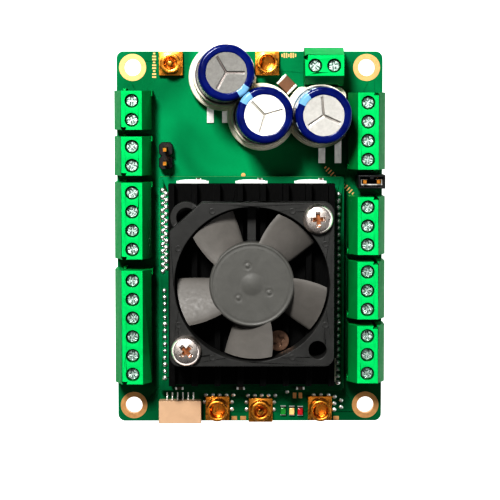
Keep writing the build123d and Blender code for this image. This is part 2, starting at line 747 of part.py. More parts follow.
def terminal_housing(poles):
    """A moulded block with a wire entry, a clamp chamber and a screw well for each pole."""
    length = poles * POLE_PITCH + 2 * BLOCK_END
    outline = [
        (0, 0),
        (0, BLOCK_SHOULDER_Z),
        (BLOCK_TOP_X[0], BLOCK_H),
        (BLOCK_TOP_X[1], BLOCK_H),
        (BLOCK_D, BLOCK_BACK_Z),
        (BLOCK_D, 0),
    ]
    face = Plane.XZ * make_face(Polyline(*outline, close=True))
    body = Pos(0, length / 2, 0) * extrude(face, length)
    rib = dovetail(RIB_ROOT, RIB_TIP, RIB_OUT, RIB_H)
    groove = dovetail(RIB_ROOT + RIB_GAP, RIB_TIP + RIB_GAP, RIB_OUT + RIB_GAP, BLOCK_H)
    back_out, back_l, back_h = BACK_RIB
    back_rib = block(BLOCK_D, BLOCK_D + back_out, length / 2 - back_l, length / 2, 0, back_h)
    body += Pos(RIB_X, length / 2, 0) * rib
    body += back_rib
    body -= Pos(RIB_X, -length / 2, 0) * groove
    for v in evenly(poles, POLE_PITCH):
        body -= block(0, ENTRY_DEPTH, v - ENTRY_W / 2, v + ENTRY_W / 2, *ENTRY_Z)
        body -= block(*CHAMBER_X, v - CHAMBER_W / 2, v + CHAMBER_W / 2, *CHAMBER_Z)
        body -= rod(SCREW_D, v, THREAD_R + CLAMP_GAP, CHAMBER_Z[1], SHOULDER_Z)
        body -= rod(SCREW_D, v, SCREW_BORE_R, SHOULDER_Z, BLOCK_H)
        body -= slab(TAIL_D, v, *TAIL_SLOT, 0, CHAMBER_Z[0])
    return body


def dovetail(root, tip, out, height):
    """The rib, or its groove, that keys one block to the next; it widens outwards."""
    return extrude(Polygon((-root, 0), (root, 0), (tip, out), (-tip, out), align=None), height)


def clamp_screw(turn):
    """A slotted screw that turns in its well and draws the clamp up."""
    slot_l, slot_w, slot_h = SCREW_SLOT
    top = SHOULDER_Z + SCREW_HEAD_H
    head = rod(SCREW_D, 0, SCREW_HEAD_R, SHOULDER_Z, top)
    shank = rod(SCREW_D, 0, THREAD_R, BAR_Z + BAR_T + 0.2, SHOULDER_Z)
    slot = Pos(SCREW_D, 0, top - slot_h / 2) * Rot(0, 0, turn) * Box(slot_l, slot_w, slot_h)
    return head + shank - slot


def clamp_cage():
    """A square loop round the contact bar; its top plate takes the screw."""
    top = CAGE_Z + CAGE_H
    half = CAGE_W / 2
    inner = half - CAGE_SIDE_T
    cage = block(*CAGE_X, -half, half, CAGE_Z, top)
    cage -= block(*CAGE_X, -inner, inner, CAGE_Z + CAGE_FLOOR_T, top - CAGE_TOP_T)
    return cage - rod(SCREW_D, 0, THREAD_R + CLAMP_GAP, CAGE_Z, top)


def clamp_bar():
    """The contact: a bar through the clamp that turns down into a tail through the board."""
    leg_x = (BAR_X[1] - BAR_T, BAR_X[1])
    bar = block(*BAR_X, -BAR_W / 2, BAR_W / 2, BAR_Z, BAR_Z + BAR_T)
    leg = block(*leg_x, -LEG_W / 2, LEG_W / 2, 0, BAR_Z + BAR_T)
    return bar + leg + block(*leg_x, -TAIL_W / 2, TAIL_W / 2, -BOARD_T - TAIL_BELOW, 0)


def terminal_sets():
    """Each pole's screw, clamp and contact, with the top block's kept apart."""
    screws, cages, bars = [], [], []
    top = []
    serial = 0
    for name, poles, place in terminal_blocks():
        for v in evenly(poles, POLE_PITCH):
            serial += 1
            spot = place * Pos(0, v, 0)
            bars.append(spot * clamp_bar())
            pair = (spot * clamp_screw(SCREW_TURN_STEP * serial), spot * clamp_cage())
            if name == "terminal_block_top":
                top.append(pair)
            else:
                screws.append(pair[0])
                cages.append(pair[1])
    return screws, cages, bars, top


# ---- small connectors -----------------------------------------------------------------------------------

def contact_foot(x, y):
    return slab(x, y, CONTACT_BASE, CONTACT_BASE, BOARD_T, BOARD_T + CONTACT_BASE_T)


def pin_contact(x, y):
    """A gold-plated block with a boss, a well and a pin that stands in the well."""
    z = BOARD_T + CONTACT_BASE_T
    boss = tube(x, y, PIN_BOSS_R, PIN_WELL_R, z, z + PIN_BOSS_H)
    return contact_foot(x, y) + boss + rod(x, y, CONTACT_PIN_R, z, z + CONTACT_PIN_H)


def socket_contact(x, y):
    """A gold-plated block with an open barrel."""
    z = BOARD_T + CONTACT_BASE_T
    barrel = rod(x, y, BARREL_R, z, z + BARREL_H) - rod(x, y, BARREL_BORE_R, z + BARREL_FLOOR, z + BARREL_H)
    return contact_foot(x, y) + barrel


def signal_connector():
    """A side-entry housing for six wires; its mouth faces the edge of the board."""
    body = slab(SIGNAL_X, SIGNAL_Y, SIGNAL_W, SIGNAL_L, BOARD_T, BOARD_T + SIGNAL_H)
    front = SIGNAL_Y - SIGNAL_L / 2
    mouth_low, mouth_high = (BOARD_T + z for z in MOUTH_Z)
    mouth_x = (SIGNAL_X - MOUTH_W / 2, SIGNAL_X + MOUTH_W / 2)
    body -= block(*mouth_x, front, front + MOUTH_DEPTH, mouth_low, mouth_high)
    slot_low, slot_high = (BOARD_T + z for z in SIGNAL_SLOT_Z)
    half = SIGNAL_SLOT_W / 2
    for x in evenly(SIGNAL_PINS, SIGNAL_PITCH):
        slot_x = (SIGNAL_X + x - half, SIGNAL_X + x + half)
        body -= block(*slot_x, front + MOUTH_DEPTH, front + SIGNAL_L, slot_low, slot_high)
    return body


def signal_pins():
    """Six bent pins, from inside the mouth to flat feet behind the housing."""
    front = SIGNAL_Y - SIGNAL_L / 2
    back = SIGNAL_Y + SIGNAL_L / 2
    low, high = (BOARD_T + z for z in SIGNAL_PIN_Z)
    bend = (back + SIGNAL_BEND[0], back + SIGNAL_BEND[1])
    half = SIGNAL_PIN_W / 2
    pins = []
    for x in evenly(SIGNAL_PINS, SIGNAL_PITCH):
        sides = (SIGNAL_X + x - half, SIGNAL_X + x + half)
        pin = block(*sides, front + SIGNAL_PIN_START, bend[1], low, high)
        pin += block(*sides, *bend, BOARD_T, high)
        pins.append(pin + block(*sides, bend[0], back + SIGNAL_FOOT, BOARD_T, BOARD_T + SIGNAL_FOOT_T))
    return pins


def header_bodies():
    """Two two-way header bodies; each way has chamfered corners."""
    bodies = []
    posts = header_posts()
    for pair in (posts[:2], posts[2:]):
        body = Part()
        for x, y in pair:
            outline = chamfer(Rectangle(HEADER_PITCH, HEADER_PITCH).vertices(), HEADER_CHAMFER)
            way = extrude(outline, HEADER_H)
            body += Pos(x, y, BOARD_T) * way
        body -= [slab(x, y, POST_SIDE, POST_SIDE, BOARD_T, BOARD_T + HEADER_H) for x, y in pair]
        bodies.append(body)
    return bodies


def header_pins():
    top = BOARD_T + POST_TOP
    return [slab(x, y, POST_SIDE, POST_SIDE, -POST_BELOW, top) for x, y in header_posts()]


def jumper_cap():
    """A plastic shell, open at the top and the bottom, that is pulled off upwards."""
    x, y = JUMPER_HEADER
    foot = BOARD_T + JUMPER_Z
    top = foot + JUMPER_H
    key_w, key_l = JUMPER_KEY
    shell = slab(x, y, JUMPER_W, JUMPER_L, foot, top)
    shell -= slab(x, y, JUMPER_W - 2 * JUMPER_WALL, JUMPER_L - 2 * JUMPER_WALL, foot, top)
    key_y = y + JUMPER_L / 2 - JUMPER_WALL - key_l / 2
    return shell + slab(x, key_y, key_w, key_l, foot, top)


def jumper_clip():
    """A folded strip of metal that grips both posts."""
    x, y = JUMPER_HEADER
    foot = BOARD_T + CLIP_Z
    top = foot + CLIP_H
    side = POST_SIDE / 2 + CLIP_GAP
    grip_half, grip_t = CLIP_GRIP
    end_out, end_t = CLIP_END
    near = (y - side - CLIP_T, y - side)
    far = (y + side, y + side + grip_t)
    clip = block(x - CLIP_HALF, x + CLIP_HALF, *near, foot, top)
    for dx in (-1, 1):
        centre = x + dx * HEADER_PITCH / 2
        outer = sorted((centre + dx * end_out, centre + dx * (end_out + end_t)))
        reach = sorted((centre, centre + dx * (end_out + end_t)))
        clip += block(centre - grip_half, centre + grip_half, *far, foot, top)
        clip += block(*outer, near[0], far[1], foot, top)
        clip += block(*reach, *far, foot, top)
    return clip


def led(x, y):
    base = slab(x, y, LED_W, LED_L, BOARD_T, BOARD_T + LED_BASE_T)
    return base + slab(x, y, LED_W, LENS_L, BOARD_T, BOARD_T + LENS_TOP)


# ---- write the sub-parts --------------------------------------------------------------------------------

os.makedirs("parts", exist_ok=True)

save("carrier_board", carrier_board())
save("hole_plating", hole_plating())
save("module_board", module_board())
save("module_headers", module_headers())
save("module_pins", module_pins())
save("module_solder", module_solder())
save("power_transistors", power_transistors())
save("module_chips", module_chips())
save("module_capacitors", module_capacitors())
save("thermal_pads", thermal_pads())
save("heatsink", heatsink())
save("heatsink_screws", heatsink_screws())
save("fan_frame", fan_frame())
save("fan_rotor", fan_rotor())
save("fan_magnet", fan_magnet())
save("fan_shaft", fan_shaft())
save("fan_bearing", fan_bearing())
save("fan_stator", fan_stator())
save("fan_coils", fan_coils())
save("fan_circuit", fan_circuit())
save("fan_screws", fan_screws())
for i in range(len(CAPACITORS)):
    save(f"capacitor_can_{i + 1}", capacitor_can(i))
    save(f"capacitor_sleeve_{i + 1}", capacitor_sleeve(i))
save("capacitor_holder", capacitor_holder())
save("capacitor_leads", capacitor_leads())
save("chip_capacitor", chip_capacitor())
for block_name, pole_count, placement in terminal_blocks():
    save(block_name, placement * terminal_housing(pole_count))
block_screws, block_clamps, block_contacts, top_pairs = terminal_sets()
save("terminal_screws", block_screws)
save("terminal_clamps", block_clamps)
save("terminal_contacts", block_contacts)
for i, (screw, cage) in enumerate(top_pairs):
    save(f"top_terminal_screw_{i + 1}", screw)
    save(f"top_terminal_clamp_{i + 1}", cage)
save("pin_contacts", [pin_contact(x, y) for x, y in PIN_CONTACTS])
save("socket_contacts", [socket_contact(x, y) for x, y in SOCKET_CONTACTS])
save("signal_connector", signal_connector())
save("signal_pins", signal_pins())
save("header_bodies", header_bodies())
save("header_pins", header_pins())
save("jumper_cap", jumper_cap())
save("jumper_clip", jumper_clip())
for led_name, led_x, led_y in LEDS:
    save(led_name, led(led_x, led_y))
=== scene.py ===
import math

import bmesh
import bpy
import numpy as np
from mathutils import Matrix, Vector


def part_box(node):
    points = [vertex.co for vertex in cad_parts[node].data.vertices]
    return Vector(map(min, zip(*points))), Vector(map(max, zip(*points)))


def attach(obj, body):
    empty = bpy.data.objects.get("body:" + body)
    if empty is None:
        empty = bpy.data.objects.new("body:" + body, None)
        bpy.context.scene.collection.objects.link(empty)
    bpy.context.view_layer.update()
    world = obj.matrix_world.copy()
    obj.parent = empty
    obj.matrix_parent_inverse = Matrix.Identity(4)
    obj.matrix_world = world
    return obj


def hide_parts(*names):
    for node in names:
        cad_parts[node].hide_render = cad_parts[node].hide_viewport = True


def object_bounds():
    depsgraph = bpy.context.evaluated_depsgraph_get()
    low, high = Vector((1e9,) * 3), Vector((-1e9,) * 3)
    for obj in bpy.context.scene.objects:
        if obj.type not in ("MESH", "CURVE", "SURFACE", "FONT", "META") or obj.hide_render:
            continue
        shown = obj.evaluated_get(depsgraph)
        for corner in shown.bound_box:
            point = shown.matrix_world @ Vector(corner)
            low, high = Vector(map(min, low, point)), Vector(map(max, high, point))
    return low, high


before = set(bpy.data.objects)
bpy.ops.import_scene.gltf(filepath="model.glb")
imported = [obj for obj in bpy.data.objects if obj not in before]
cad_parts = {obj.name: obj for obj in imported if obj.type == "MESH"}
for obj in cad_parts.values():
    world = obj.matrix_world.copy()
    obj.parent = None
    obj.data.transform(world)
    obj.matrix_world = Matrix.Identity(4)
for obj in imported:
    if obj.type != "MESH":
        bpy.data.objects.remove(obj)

cad_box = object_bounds()
MM = 0.001
TURN = 2 * math.pi
random = np.random.default_rng(7)

# Heights and places that several pieces share, in millimetres
BOARD_T = 1.6
MODULE_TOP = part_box("module_board")[1].z / MM
FAN_LOW, FAN_HIGH = (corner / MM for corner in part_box("fan_frame"))
FAN_X, FAN_Y = (FAN_LOW.x + FAN_HIGH.x) / 2, (FAN_LOW.y + FAN_HIGH.y) / 2
FAN_Z = FAN_LOW.z
FAN_TOP = FAN_HIGH.z
FLOOR_Z = cad_box[0].z / MM

MERGE_CAD = 1.5e-6      # vertices of a CAD copy this close, in metres, become one
CRISP_ANGLE = 35.0      # degrees; edges sharper than this are rounded or left crisp
POLE_PITCH = 3.5        # between the poles of a screw terminal
LOW_INDEX = 1.15        # for glossy greens, so that they mirror little of the bright floor


# ==== meshes ======================================================================================

def finish_piece(name, vertices, faces, body, material, smooth=40.0, attributes=None):
    """Puts arrays in millimetres into a mesh, merges doubles, turns faces outward and rides it on a body."""
    mesh = bpy.data.meshes.new(name)
    mesh.from_pydata((np.asarray(vertices) * MM).tolist(), [], [list(face) for face in faces])
    for label, values in (attributes or {}).items():
        layer = mesh.attributes.new(label, "FLOAT_VECTOR", "POINT")
        layer.data.foreach_set("vector", np.asarray(values, dtype=np.float32).ravel())
    tidy = bmesh.new()
    tidy.from_mesh(mesh)
    bmesh.ops.remove_doubles(tidy, verts=tidy.verts, dist=1e-7)
    bmesh.ops.recalc_face_normals(tidy, faces=tidy.faces)
    tidy.to_mesh(mesh)
    tidy.free()
    mesh.materials.append(material)
    piece = bpy.data.objects.new(name, mesh)
    bpy.context.scene.collection.objects.link(piece)
    shade_by_angle(piece, smooth)
    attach(piece, body)
    return piece


def shade_by_angle(piece, degrees):
    """Smooth shading, with edges sharper than the angle left crisp."""
    mesh = piece.data
    mesh.polygons.foreach_set("use_smooth", np.ones(len(mesh.polygons), dtype=bool))
    mesh.set_sharp_from_angle(angle=math.radians(degrees))


def grid_faces(rows, columns, wrap=False):
    """Quads between neighbours of a grid whose points are stored row by row."""
    index = np.arange(rows * columns).reshape(rows, columns)
    if wrap:
        index = np.hstack([index, index[:, :1]])
    corners = index[:-1, :-1], index[:-1, 1:], index[1:, 1:], index[1:, :-1]
    return np.stack(corners, -1).reshape(-1, 4)


def joined(parts):
    """Several (vertices, faces) pairs as one pair, each part's faces counted on from the last."""
    vertices, faces, start = [], [], 0
    for part_vertices, part_faces in parts:
        vertices.append(part_vertices)
        faces.extend(np.asarray(part_faces) + start)
        start += len(part_vertices)
    return np.vstack(vertices), faces


def lathe(profile, segments=48, centre=(0.0, 0.0, 0.0), depth_of=None):
    """A profile of (radius, height) points turned about an upright axis.
    The point at profile step i and angle a is (r cos a, r sin a, z); depth_of(r, a), if given, sinks the
    surface."""
    profile = np.asarray(profile, dtype=float)
    angle = np.arange(segments) * TURN / segments
    radius = profile[:, :1] * np.ones(segments)
    height = profile[:, 1:] * np.ones(segments)
    if depth_of is not None:
        height = height - depth_of(radius, angle[None, :] * np.ones_like(radius))
    points = np.stack([radius * np.cos(angle), radius * np.sin(angle), height], -1)
    return points.reshape(-1, 3) + np.asarray(centre), grid_faces(len(profile), segments, wrap=True)


def repeated(part, places):
    """The same small part at several places."""
    vertices, faces = part
    return joined([(vertices + np.asarray(place), faces) for place in places])


def dome(radius, height, segments=12, rings=4):
    """A low dome on a flat underside: height falls with the cosine as the radius grows with the sine."""
    a = np.linspace(0, math.pi / 2, rings + 1)
    profile = np.column_stack([radius * np.sin(a), height * np.cos(a)])
    return lathe(np.vstack([profile, [[0, 0]]]), segments)


def plate(x, y, width, length, z0, z1, turn=0.0):
    """Six faces of a flat block, turned about its own middle."""
    signs = np.array([(-1, -1), (1, -1), (1, 1), (-1, 1)]) / 2
    c, s = math.cos(math.radians(turn)), math.sin(math.radians(turn))
    flat = signs * (width, length) @ np.array([[c, s], [-s, c]]) + (x, y)
    low = np.column_stack([flat, np.full(4, z0)])
    high = np.column_stack([flat, np.full(4, z1)])
    faces = [(3, 2, 1, 0), (4, 5, 6, 7), (0, 1, 5, 4), (1, 2, 6, 5), (2, 3, 7, 6), (3, 0, 4, 7)]
    return np.vstack([low, high]), faces


def softened(node, radius, material, body="board", angle=CRISP_ANGLE):
    """A merged copy of a CAD node with its crisp edges rounded to a moulding's or a machined part's radius;
    large flat faces keep level normals."""
    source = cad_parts[node]
    mesh = source.data.copy()
    mesh.name = node + "_soft"
    tidy = bmesh.new()
    tidy.from_mesh(mesh)
    bmesh.ops.remove_doubles(tidy, verts=tidy.verts, dist=MERGE_CAD)
    tidy.to_mesh(mesh)
    tidy.free()
    mesh.materials.clear()
    mesh.materials.append(material)
    piece = bpy.data.objects.new(node + "_soft", mesh)
    bpy.context.scene.collection.objects.link(piece)
    shade_by_angle(piece, CRISP_ANGLE)
    edge = piece.modifiers.new("edge", "BEVEL")
    edge.width = radius * MM
    edge.segments = 2
    edge.limit_method = "ANGLE"
    edge.angle_limit = math.radians(angle)
    edge.use_clamp_overlap = False
    flat = piece.modifiers.new("flat faces", "WEIGHTED_NORMAL")
    flat.mode = "FACE_AREA"
    flat.weight = 100
    flat.keep_sharp = True
    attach(piece, body)
    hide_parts(node)
    return piece


# ==== materials ===================================================================================

class Finish:
    """A material being made: a Principled shader, and Object coordinates in millimetres to drive it."""

    def __init__(self, name, colour, roughness, metallic=0.0, **sockets):
        """Other sockets are named as in the shader, with an underscore for each space."""
        self.material = bpy.data.materials.new(name)
        self.material.use_nodes = True
        self.tree = self.material.node_tree
        self.shader = self.tree.nodes["Principled BSDF"]
        self.shader.inputs["Base Color"].default_value = (*colour, 1)
        self.shader.inputs["Roughness"].default_value = roughness
        self.shader.inputs["Metallic"].default_value = metallic
        for label, value in sockets.items():
            self.shader.inputs[label.replace("_", " ")].default_value = value
        coordinates = self.tree.nodes.new("ShaderNodeTexCoord")
        mapping = self.tree.nodes.new("ShaderNodeMapping")
        mapping.inputs["Scale"].default_value = (1000, 1000, 1000)
        self.tree.links.new(coordinates.outputs["Object"], mapping.inputs["Vector"])
        self.coordinates = coordinates
        self.place = mapping.outputs["Vector"]
        self.relief = None

    def stretch(self, x, y, z):
        """Millimetre coordinates stretched along the axes, for brushed or drawn grain."""
        node = self.tree.nodes.new("ShaderNodeMapping")
        node.inputs["Scale"].default_value = (x, y, z)
        self.tree.links.new(self.place, node.inputs["Vector"])
        return node.outputs["Vector"]

    def noise(self, scale, detail=3.0, roughness=0.5, distortion=0.0, at=None):
        """Cloudy noise; scale is in features per millimetre."""
        node = self.tree.nodes.new("ShaderNodeTexNoise")
        node.inputs["Scale"].default_value = scale
        node.inputs["Detail"].default_value = detail
        node.inputs["Roughness"].default_value = roughness
        node.inputs["Distortion"].default_value = distortion
        self.tree.links.new(at or self.place, node.inputs["Vector"])
        return node.outputs["Fac"]

    def math(self, operation, first, second=0.0, clamp=False):
        """One arithmetic step on numbers or sockets."""
        node = self.tree.nodes.new("ShaderNodeMath")
        node.operation = operation
        node.use_clamp = clamp
        for socket, value in zip(node.inputs, (first, second)):
            if isinstance(value, (int, float)):
                socket.default_value = value
            else:
                self.tree.links.new(value, socket)
        return node.outputs[0]

    def ramp(self, fac, *stops):
        """A colour ramp; each stop is (position, colour or grey)."""
        node = self.tree.nodes.new("ShaderNodeValToRGB")
        elements = node.color_ramp.elements
        while len(elements) < len(stops):
            elements.new(0.5)
        for element, (position, colour) in zip(elements, stops):
            element.position = position
            element.color = (colour,) * 3 + (1,) if isinstance(colour, (int, float)) else (*colour, 1)
        self.tree.links.new(fac, node.inputs["Fac"])
        return node.outputs["Color"]

    def mix(self, fac, first, second):
        """Two colours mixed by a socket."""
        node = self.tree.nodes.new("ShaderNodeMix")
        node.data_type = "RGBA"
        self.tree.links.new(fac, node.inputs["Factor"])
        for label, value in (("A", first), ("B", second)):
            socket = [i for i in node.inputs if i.name == label and i.type == "RGBA"][0]
            if isinstance(value, tuple):
                socket.default_value = (*value, 1)
            else:
                self.tree.links.new(value, socket)
        return [o for o in node.outputs if o.type == "RGBA"][0]

    def colour(self, socket):
        """The base colour comes from a socket."""
        self.tree.links.new(socket, self.shader.inputs["Base Color"])
        return self

    def roughness(self, fac, low, high):
        """Roughness between two values as the socket goes from 0.3 to 0.7."""
        node = self.tree.nodes.new("ShaderNodeMapRange")
        node.inputs["From Min"].default_value = 0.3
        node.inputs["From Max"].default_value = 0.7
        node.inputs["To Min"].default_value = low
        node.inputs["To Max"].default_value = high
        self.tree.links.new(fac, node.inputs["Value"])
        self.tree.links.new(node.outputs["Result"], self.shader.inputs["Roughness"])
        return self

    def bump(self, height, depth):
        """Relief of a depth in millimetres, added to any relief already there."""
        node = self.tree.nodes.new("ShaderNodeBump")
        node.inputs["Distance"].default_value = depth * MM
        self.tree.links.new(height, node.inputs["Height"])
        if self.relief is not None:
            self.tree.links.new(self.relief, node.inputs["Normal"])
        self.relief = node.outputs["Normal"]
        self.tree.links.new(self.relief, self.shader.inputs["Normal"])
        return self

    def facing_up(self):
        """1 on faces that look up or down, 0 on upright ones."""
        return self.math("GREATER_THAN", self.lean("Z"), 0.5)

    def nearness(self, x, y, reach):
        """1 at a point of the board, falling evenly to 0 at a reach in millimetres."""
        node = self.tree.nodes.new("ShaderNodeVectorMath")
        node.operation = "DISTANCE"
        node.inputs[1].default_value = (x, y, BOARD_T)
        self.tree.links.new(self.place, node.inputs[0])
        return self.math("SUBTRACT", 1.0, self.math("DIVIDE", node.outputs["Value"], reach), clamp=True)

    def lean(self, axis):
        """How far a face leans along an axis, from 0 to 1."""
        split = self.tree.nodes.new("ShaderNodeSeparateXYZ")
        self.tree.links.new(self.coordinates.outputs["Normal"], split.inputs["Vector"])
        return self.math("ABSOLUTE", split.outputs[axis])

    def tinted(self, first, second):
        """Two colours multiplied together."""
        node = self.tree.nodes.new("ShaderNodeMix")
        node.data_type = "RGBA"
        node.blend_type = "MULTIPLY"
        node.inputs["Factor"].default_value = 1.0
        for label, value in (("A", first), ("B", second)):
            socket = [i for i in node.inputs if i.name == label and i.type == "RGBA"][0]
            self.tree.links.new(value, socket)
        return [o for o in node.outputs if o.type == "RGBA"][0]

    def attribute(self, label):
        """A vector stored on the mesh's points."""
        node = self.tree.nodes.new("ShaderNodeAttribute")
        node.attribute_name = label
        return node.outputs["Vector"]


def moulded(name, colour, roughness, variation=0.12, grain=6.0, depth=0.006, **sockets):
    """Moulded plastic: fine spark-eroded grain, slight flow marks in the colour and uneven gloss."""
    finish = Finish(name, colour, roughness, **sockets)
    darker = tuple(c * (1 - variation) for c in colour)
    lighter = tuple(c * (1 + variation) for c in colour)
    flow = finish.noise(0.35, 4, 0.6, 0.6)
    finish.colour(finish.ramp(flow, (0.3, darker), (0.7, lighter)))
    finish.roughness(finish.noise(1.7, 3), roughness - 0.06, roughness + 0.08)
    return finish.bump(finish.noise(grain, 2, 0.6), depth)


def metal(name, colour, roughness, variation=0.12, grain=(1, 1, 1), scale=3.0, depth=0.003, **sockets):
    """Metal: grain drawn along an axis, tarnish in patches and uneven polish."""
    finish = Finish(name, colour, roughness, metallic=1.0, **sockets)
    darker = tuple(c * (1 - variation) for c in colour)
    patches = finish.noise(0.9, 4, 0.65)
    finish.colour(finish.ramp(patches, (0.35, darker), (0.65, colour)))
    drawn = finish.noise(scale, 3, 0.6, at=finish.stretch(*grain))
    finish.roughness(drawn, roughness - 0.08, roughness + 0.12)
    return finish.bump(drawn, depth)


def solder_mask(name, colour, edge_colour):
    """Glossy mask over copper: lighter where broad copper lies under it, with the laminate bare on the cut
    edge;
    also painted brighter near a point of the board and darker away from it, a painted pool of light."""
    finish = Finish(name, colour, 0.34, Specular_IOR_Level=0.3, IOR=LOW_INDEX)
    lighter = tuple(c * 1.25 for c in colour)
    darker = tuple(c * 0.68 for c in colour)
    copper = finish.ramp(finish.noise(0.055, 2, 0.4, 0.9), (0.36, darker), (0.5, colour),
                         (0.64, lighter))
    weave = finish.noise(2.4, 2, 0.5)
    fine = finish.ramp(weave, (0.3, 0.9), (0.7, 1.0))
    mottled = finish.mix(finish.noise(0.5, 3), copper, finish.tinted(copper, fine))
    # painted light: the mask is brightest near (-7, 14) and darkens with distance from it, a painted pool of
    # light with painted shade towards the edges
    painted_light_pool = finish.ramp(finish.nearness(-7, 14, 52), (0.0, 0.42), (0.4, 0.78), (1.0, 1.0))
    mottled = finish.tinted(mottled, painted_light_pool)
    laminate = finish.ramp(finish.noise(5.0, 3, 0.6, at=finish.stretch(0.15, 0.15, 6)),
                           (0.35, tuple(c * 0.7 for c in edge_colour)), (0.65, edge_colour))
    finish.colour(finish.mix(finish.facing_up(), laminate, mottled))
    finish.roughness(weave, 0.28, 0.42)
    return finish.bump(weave, 0.003).bump(finish.noise(0.5, 2), 0.015)


MASK_GREEN = (0.0006, 0.25, 0.094)
MODULE_GREEN = (0.0006, 0.19, 0.075)
PLASTIC_GREEN = (0.0005, 0.5, 0.125)
FAN_DARK = (0.026, 0.026, 0.025)
ROTOR_GREY = (0.085, 0.084, 0.078)
# painted light: the blades are the rotor's own plastic, given a lighter grey than the hub to stand in for the
# light they catch
BLADE_LIT_GREY = (0.115, 0.108, 0.1)

board_green = solder_mask("solder mask", MASK_GREEN, (0.30, 0.34, 0.12)).material
module_green = solder_mask("module solder mask", MODULE_GREEN, (0.26, 0.3, 0.1)).material


def polyamide():
    """Glossy green polyamide, full colour on top; the sloping flanks and the ends are darkened as painted
    shade.
    """
    finish = Finish("terminal polyamide", PLASTIC_GREEN, 0.4, Specular_IOR_Level=0.3, IOR=LOW_INDEX)
    flow = finish.ramp(finish.noise(0.35, 4, 0.6, 0.6), (0.3, tuple(c * 0.9 for c in PLASTIC_GREEN)),
                       (0.7, tuple(c * 1.08 for c in PLASTIC_GREEN)))
    # painted shade: faces that lean across the block, and faces that lean along it, are darkened by how far
    # they lean
    painted_flank_shade = finish.ramp(finish.lean("X"), (0.15, 1.0), (0.45, 0.42))
    end = finish.ramp(finish.lean("Y"), (0.15, 1.0), (0.45, 0.6))
    finish.colour(finish.tinted(finish.tinted(flow, painted_flank_shade), end))
    finish.roughness(finish.noise(1.7, 3), 0.34, 0.48)
    return finish.bump(finish.noise(5.0, 2, 0.6), 0.006).material


terminal_green = polyamide()
black_plastic = moulded("black header plastic", (0.006, 0.006, 0.0065), 0.42, 0.3,
                        Specular_IOR_Level=0.35).material
fan_dark = moulded("glass-filled frame plastic", FAN_DARK, 0.46, 0.2, 7.0, 0.012,
                   Specular_IOR_Level=0.3).material
rotor_grey = moulded("glass-filled rotor plastic", ROTOR_GREY, 0.5, 0.1, 6.0, 0.005,
                     Specular_IOR_Level=0.35).material
# painted light: a lightened copy of the rotor plastic for the blades
lit_blade_grey = moulded("blade plastic lightened as painted light", BLADE_LIT_GREY, 0.5, 0.1, 6.0, 0.005,
                     Specular_IOR_Level=0.3).material
chip_black = moulded("chip moulding", (0.012, 0.012, 0.013), 0.55, 0.2, 9.0, 0.006).material
cream_plastic = moulded("cream socket plastic", (0.47, 0.31, 0.2), 0.55, 0.06, 5.0, 0.008,
                        Specular_IOR_Level=0.3).material
holder_cream = moulded("holder plastic", (0.86, 0.8, 0.68), 0.5, 0.07, 3.0, 0.01,
                       Specular_IOR_Level=0.35).material
pad_white = moulded("silicone heat pad", (0.8, 0.82, 0.8), 0.7, 0.06, 4.0, 0.03).material
magnet_grey = moulded("bonded magnet", (0.05, 0.047, 0.044), 0.6, 0.15).material
brown_ceramic = moulded("chip capacitor ceramic", (0.13, 0.055, 0.02), 0.45, 0.12, 8.0, 0.004).material
tan_ceramic = moulded("small chip ceramic", (0.1, 0.07, 0.045), 0.5, 0.1, 8.0, 0.003).material
gold = metal("gold plate", (0.78, 0.34, 0.06), 0.28, 0.12, scale=1.2, depth=0.001).material
pad_gold = metal("flat gold plate", (0.76, 0.43, 0.19), 0.42, 0.12, scale=5.0).material
tin = metal("tin plate", (0.8, 0.79, 0.75), 0.34, 0.15, scale=4.0).material
solder = metal("solder", (0.93, 0.93, 0.9), 0.38, 0.15, scale=2.5, depth=0.008).material
nickel = metal("nickel plate", (0.88, 0.8, 0.75), 0.3, 0.08, scale=6.0, depth=0.002).material
# painted shade: the heatsink screws' coppery nickel is darkened to stand in for the shade deep in the fan's
# bore
coppery_nickel_shaded = metal("coppery nickel darkened as painted shade", (0.22, 0.14, 0.1), 0.36, 0.3, scale=4.0, depth=0.004).material
zinc = metal("zinc-plated steel", (0.5, 0.6, 0.56), 0.42, 0.2, scale=3.0, depth=0.004).material
steel = metal("ground steel", (0.5, 0.5, 0.51), 0.3, 0.15).material
bronze = metal("sintered bronze", (0.45, 0.28, 0.12), 0.5, 0.2).material
copper_wire = metal("enamelled wire", (0.55, 0.18, 0.06), 0.35, 0.2, (1, 1, 8), 2.0, 0.03).material


def anodising():
    """Black anodising with faint extrusion lines that run along the fins."""
    finish = Finish("black anodising", (0.006, 0.006, 0.0065), 0.5, Specular_IOR_Level=0.08)
    drawn = finish.noise(2.0, 3, 0.6, at=finish.stretch(6, 0.4, 6))
    finish.colour(finish.ramp(drawn, (0.35, 0.002), (0.65, 0.005)))
    finish.roughness(drawn, 0.42, 0.58)
    return finish.bump(drawn, 0.006).material


anodised = anodising()


def indicator(name, colour):
    """Clear epoxy over a coloured chip."""
    finish = moulded(name, colour, 0.2, 0.25, 3.0, 0.002, Coat_Weight=0.6, Coat_Roughness=0.08)
    return finish.material


def dress(node, material):
    """A CAD node that keeps its shape takes a finish."""
    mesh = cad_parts[node].data
    mesh.materials.clear()
    mesh.materials.append(material)


# ==== boards ======================================================================================

softened("carrier_board", 0.08, board_green)
softened("module_board", 0.06, module_green)
for cad_name, cad_finish in (
    ("hole_plating", pad_gold), ("module_headers", black_plastic), ("module_pins", tin),
    ("power_transistors", chip_black), ("module_chips", chip_black),
    ("fan_magnet", magnet_grey), ("fan_shaft", steel), ("fan_bearing", bronze), ("fan_stator", steel),
    ("fan_coils", copper_wire), ("fan_circuit", module_green), ("capacitor_leads", tin),
    ("terminal_clamps", zinc), ("terminal_contacts", tin), ("signal_pins", tin), ("header_pins", gold),
    ("jumper_clip", tin), ("top_terminal_clamp_1", zinc), ("top_terminal_clamp_2", zinc),
):
    dress(cad_name, cad_finish)


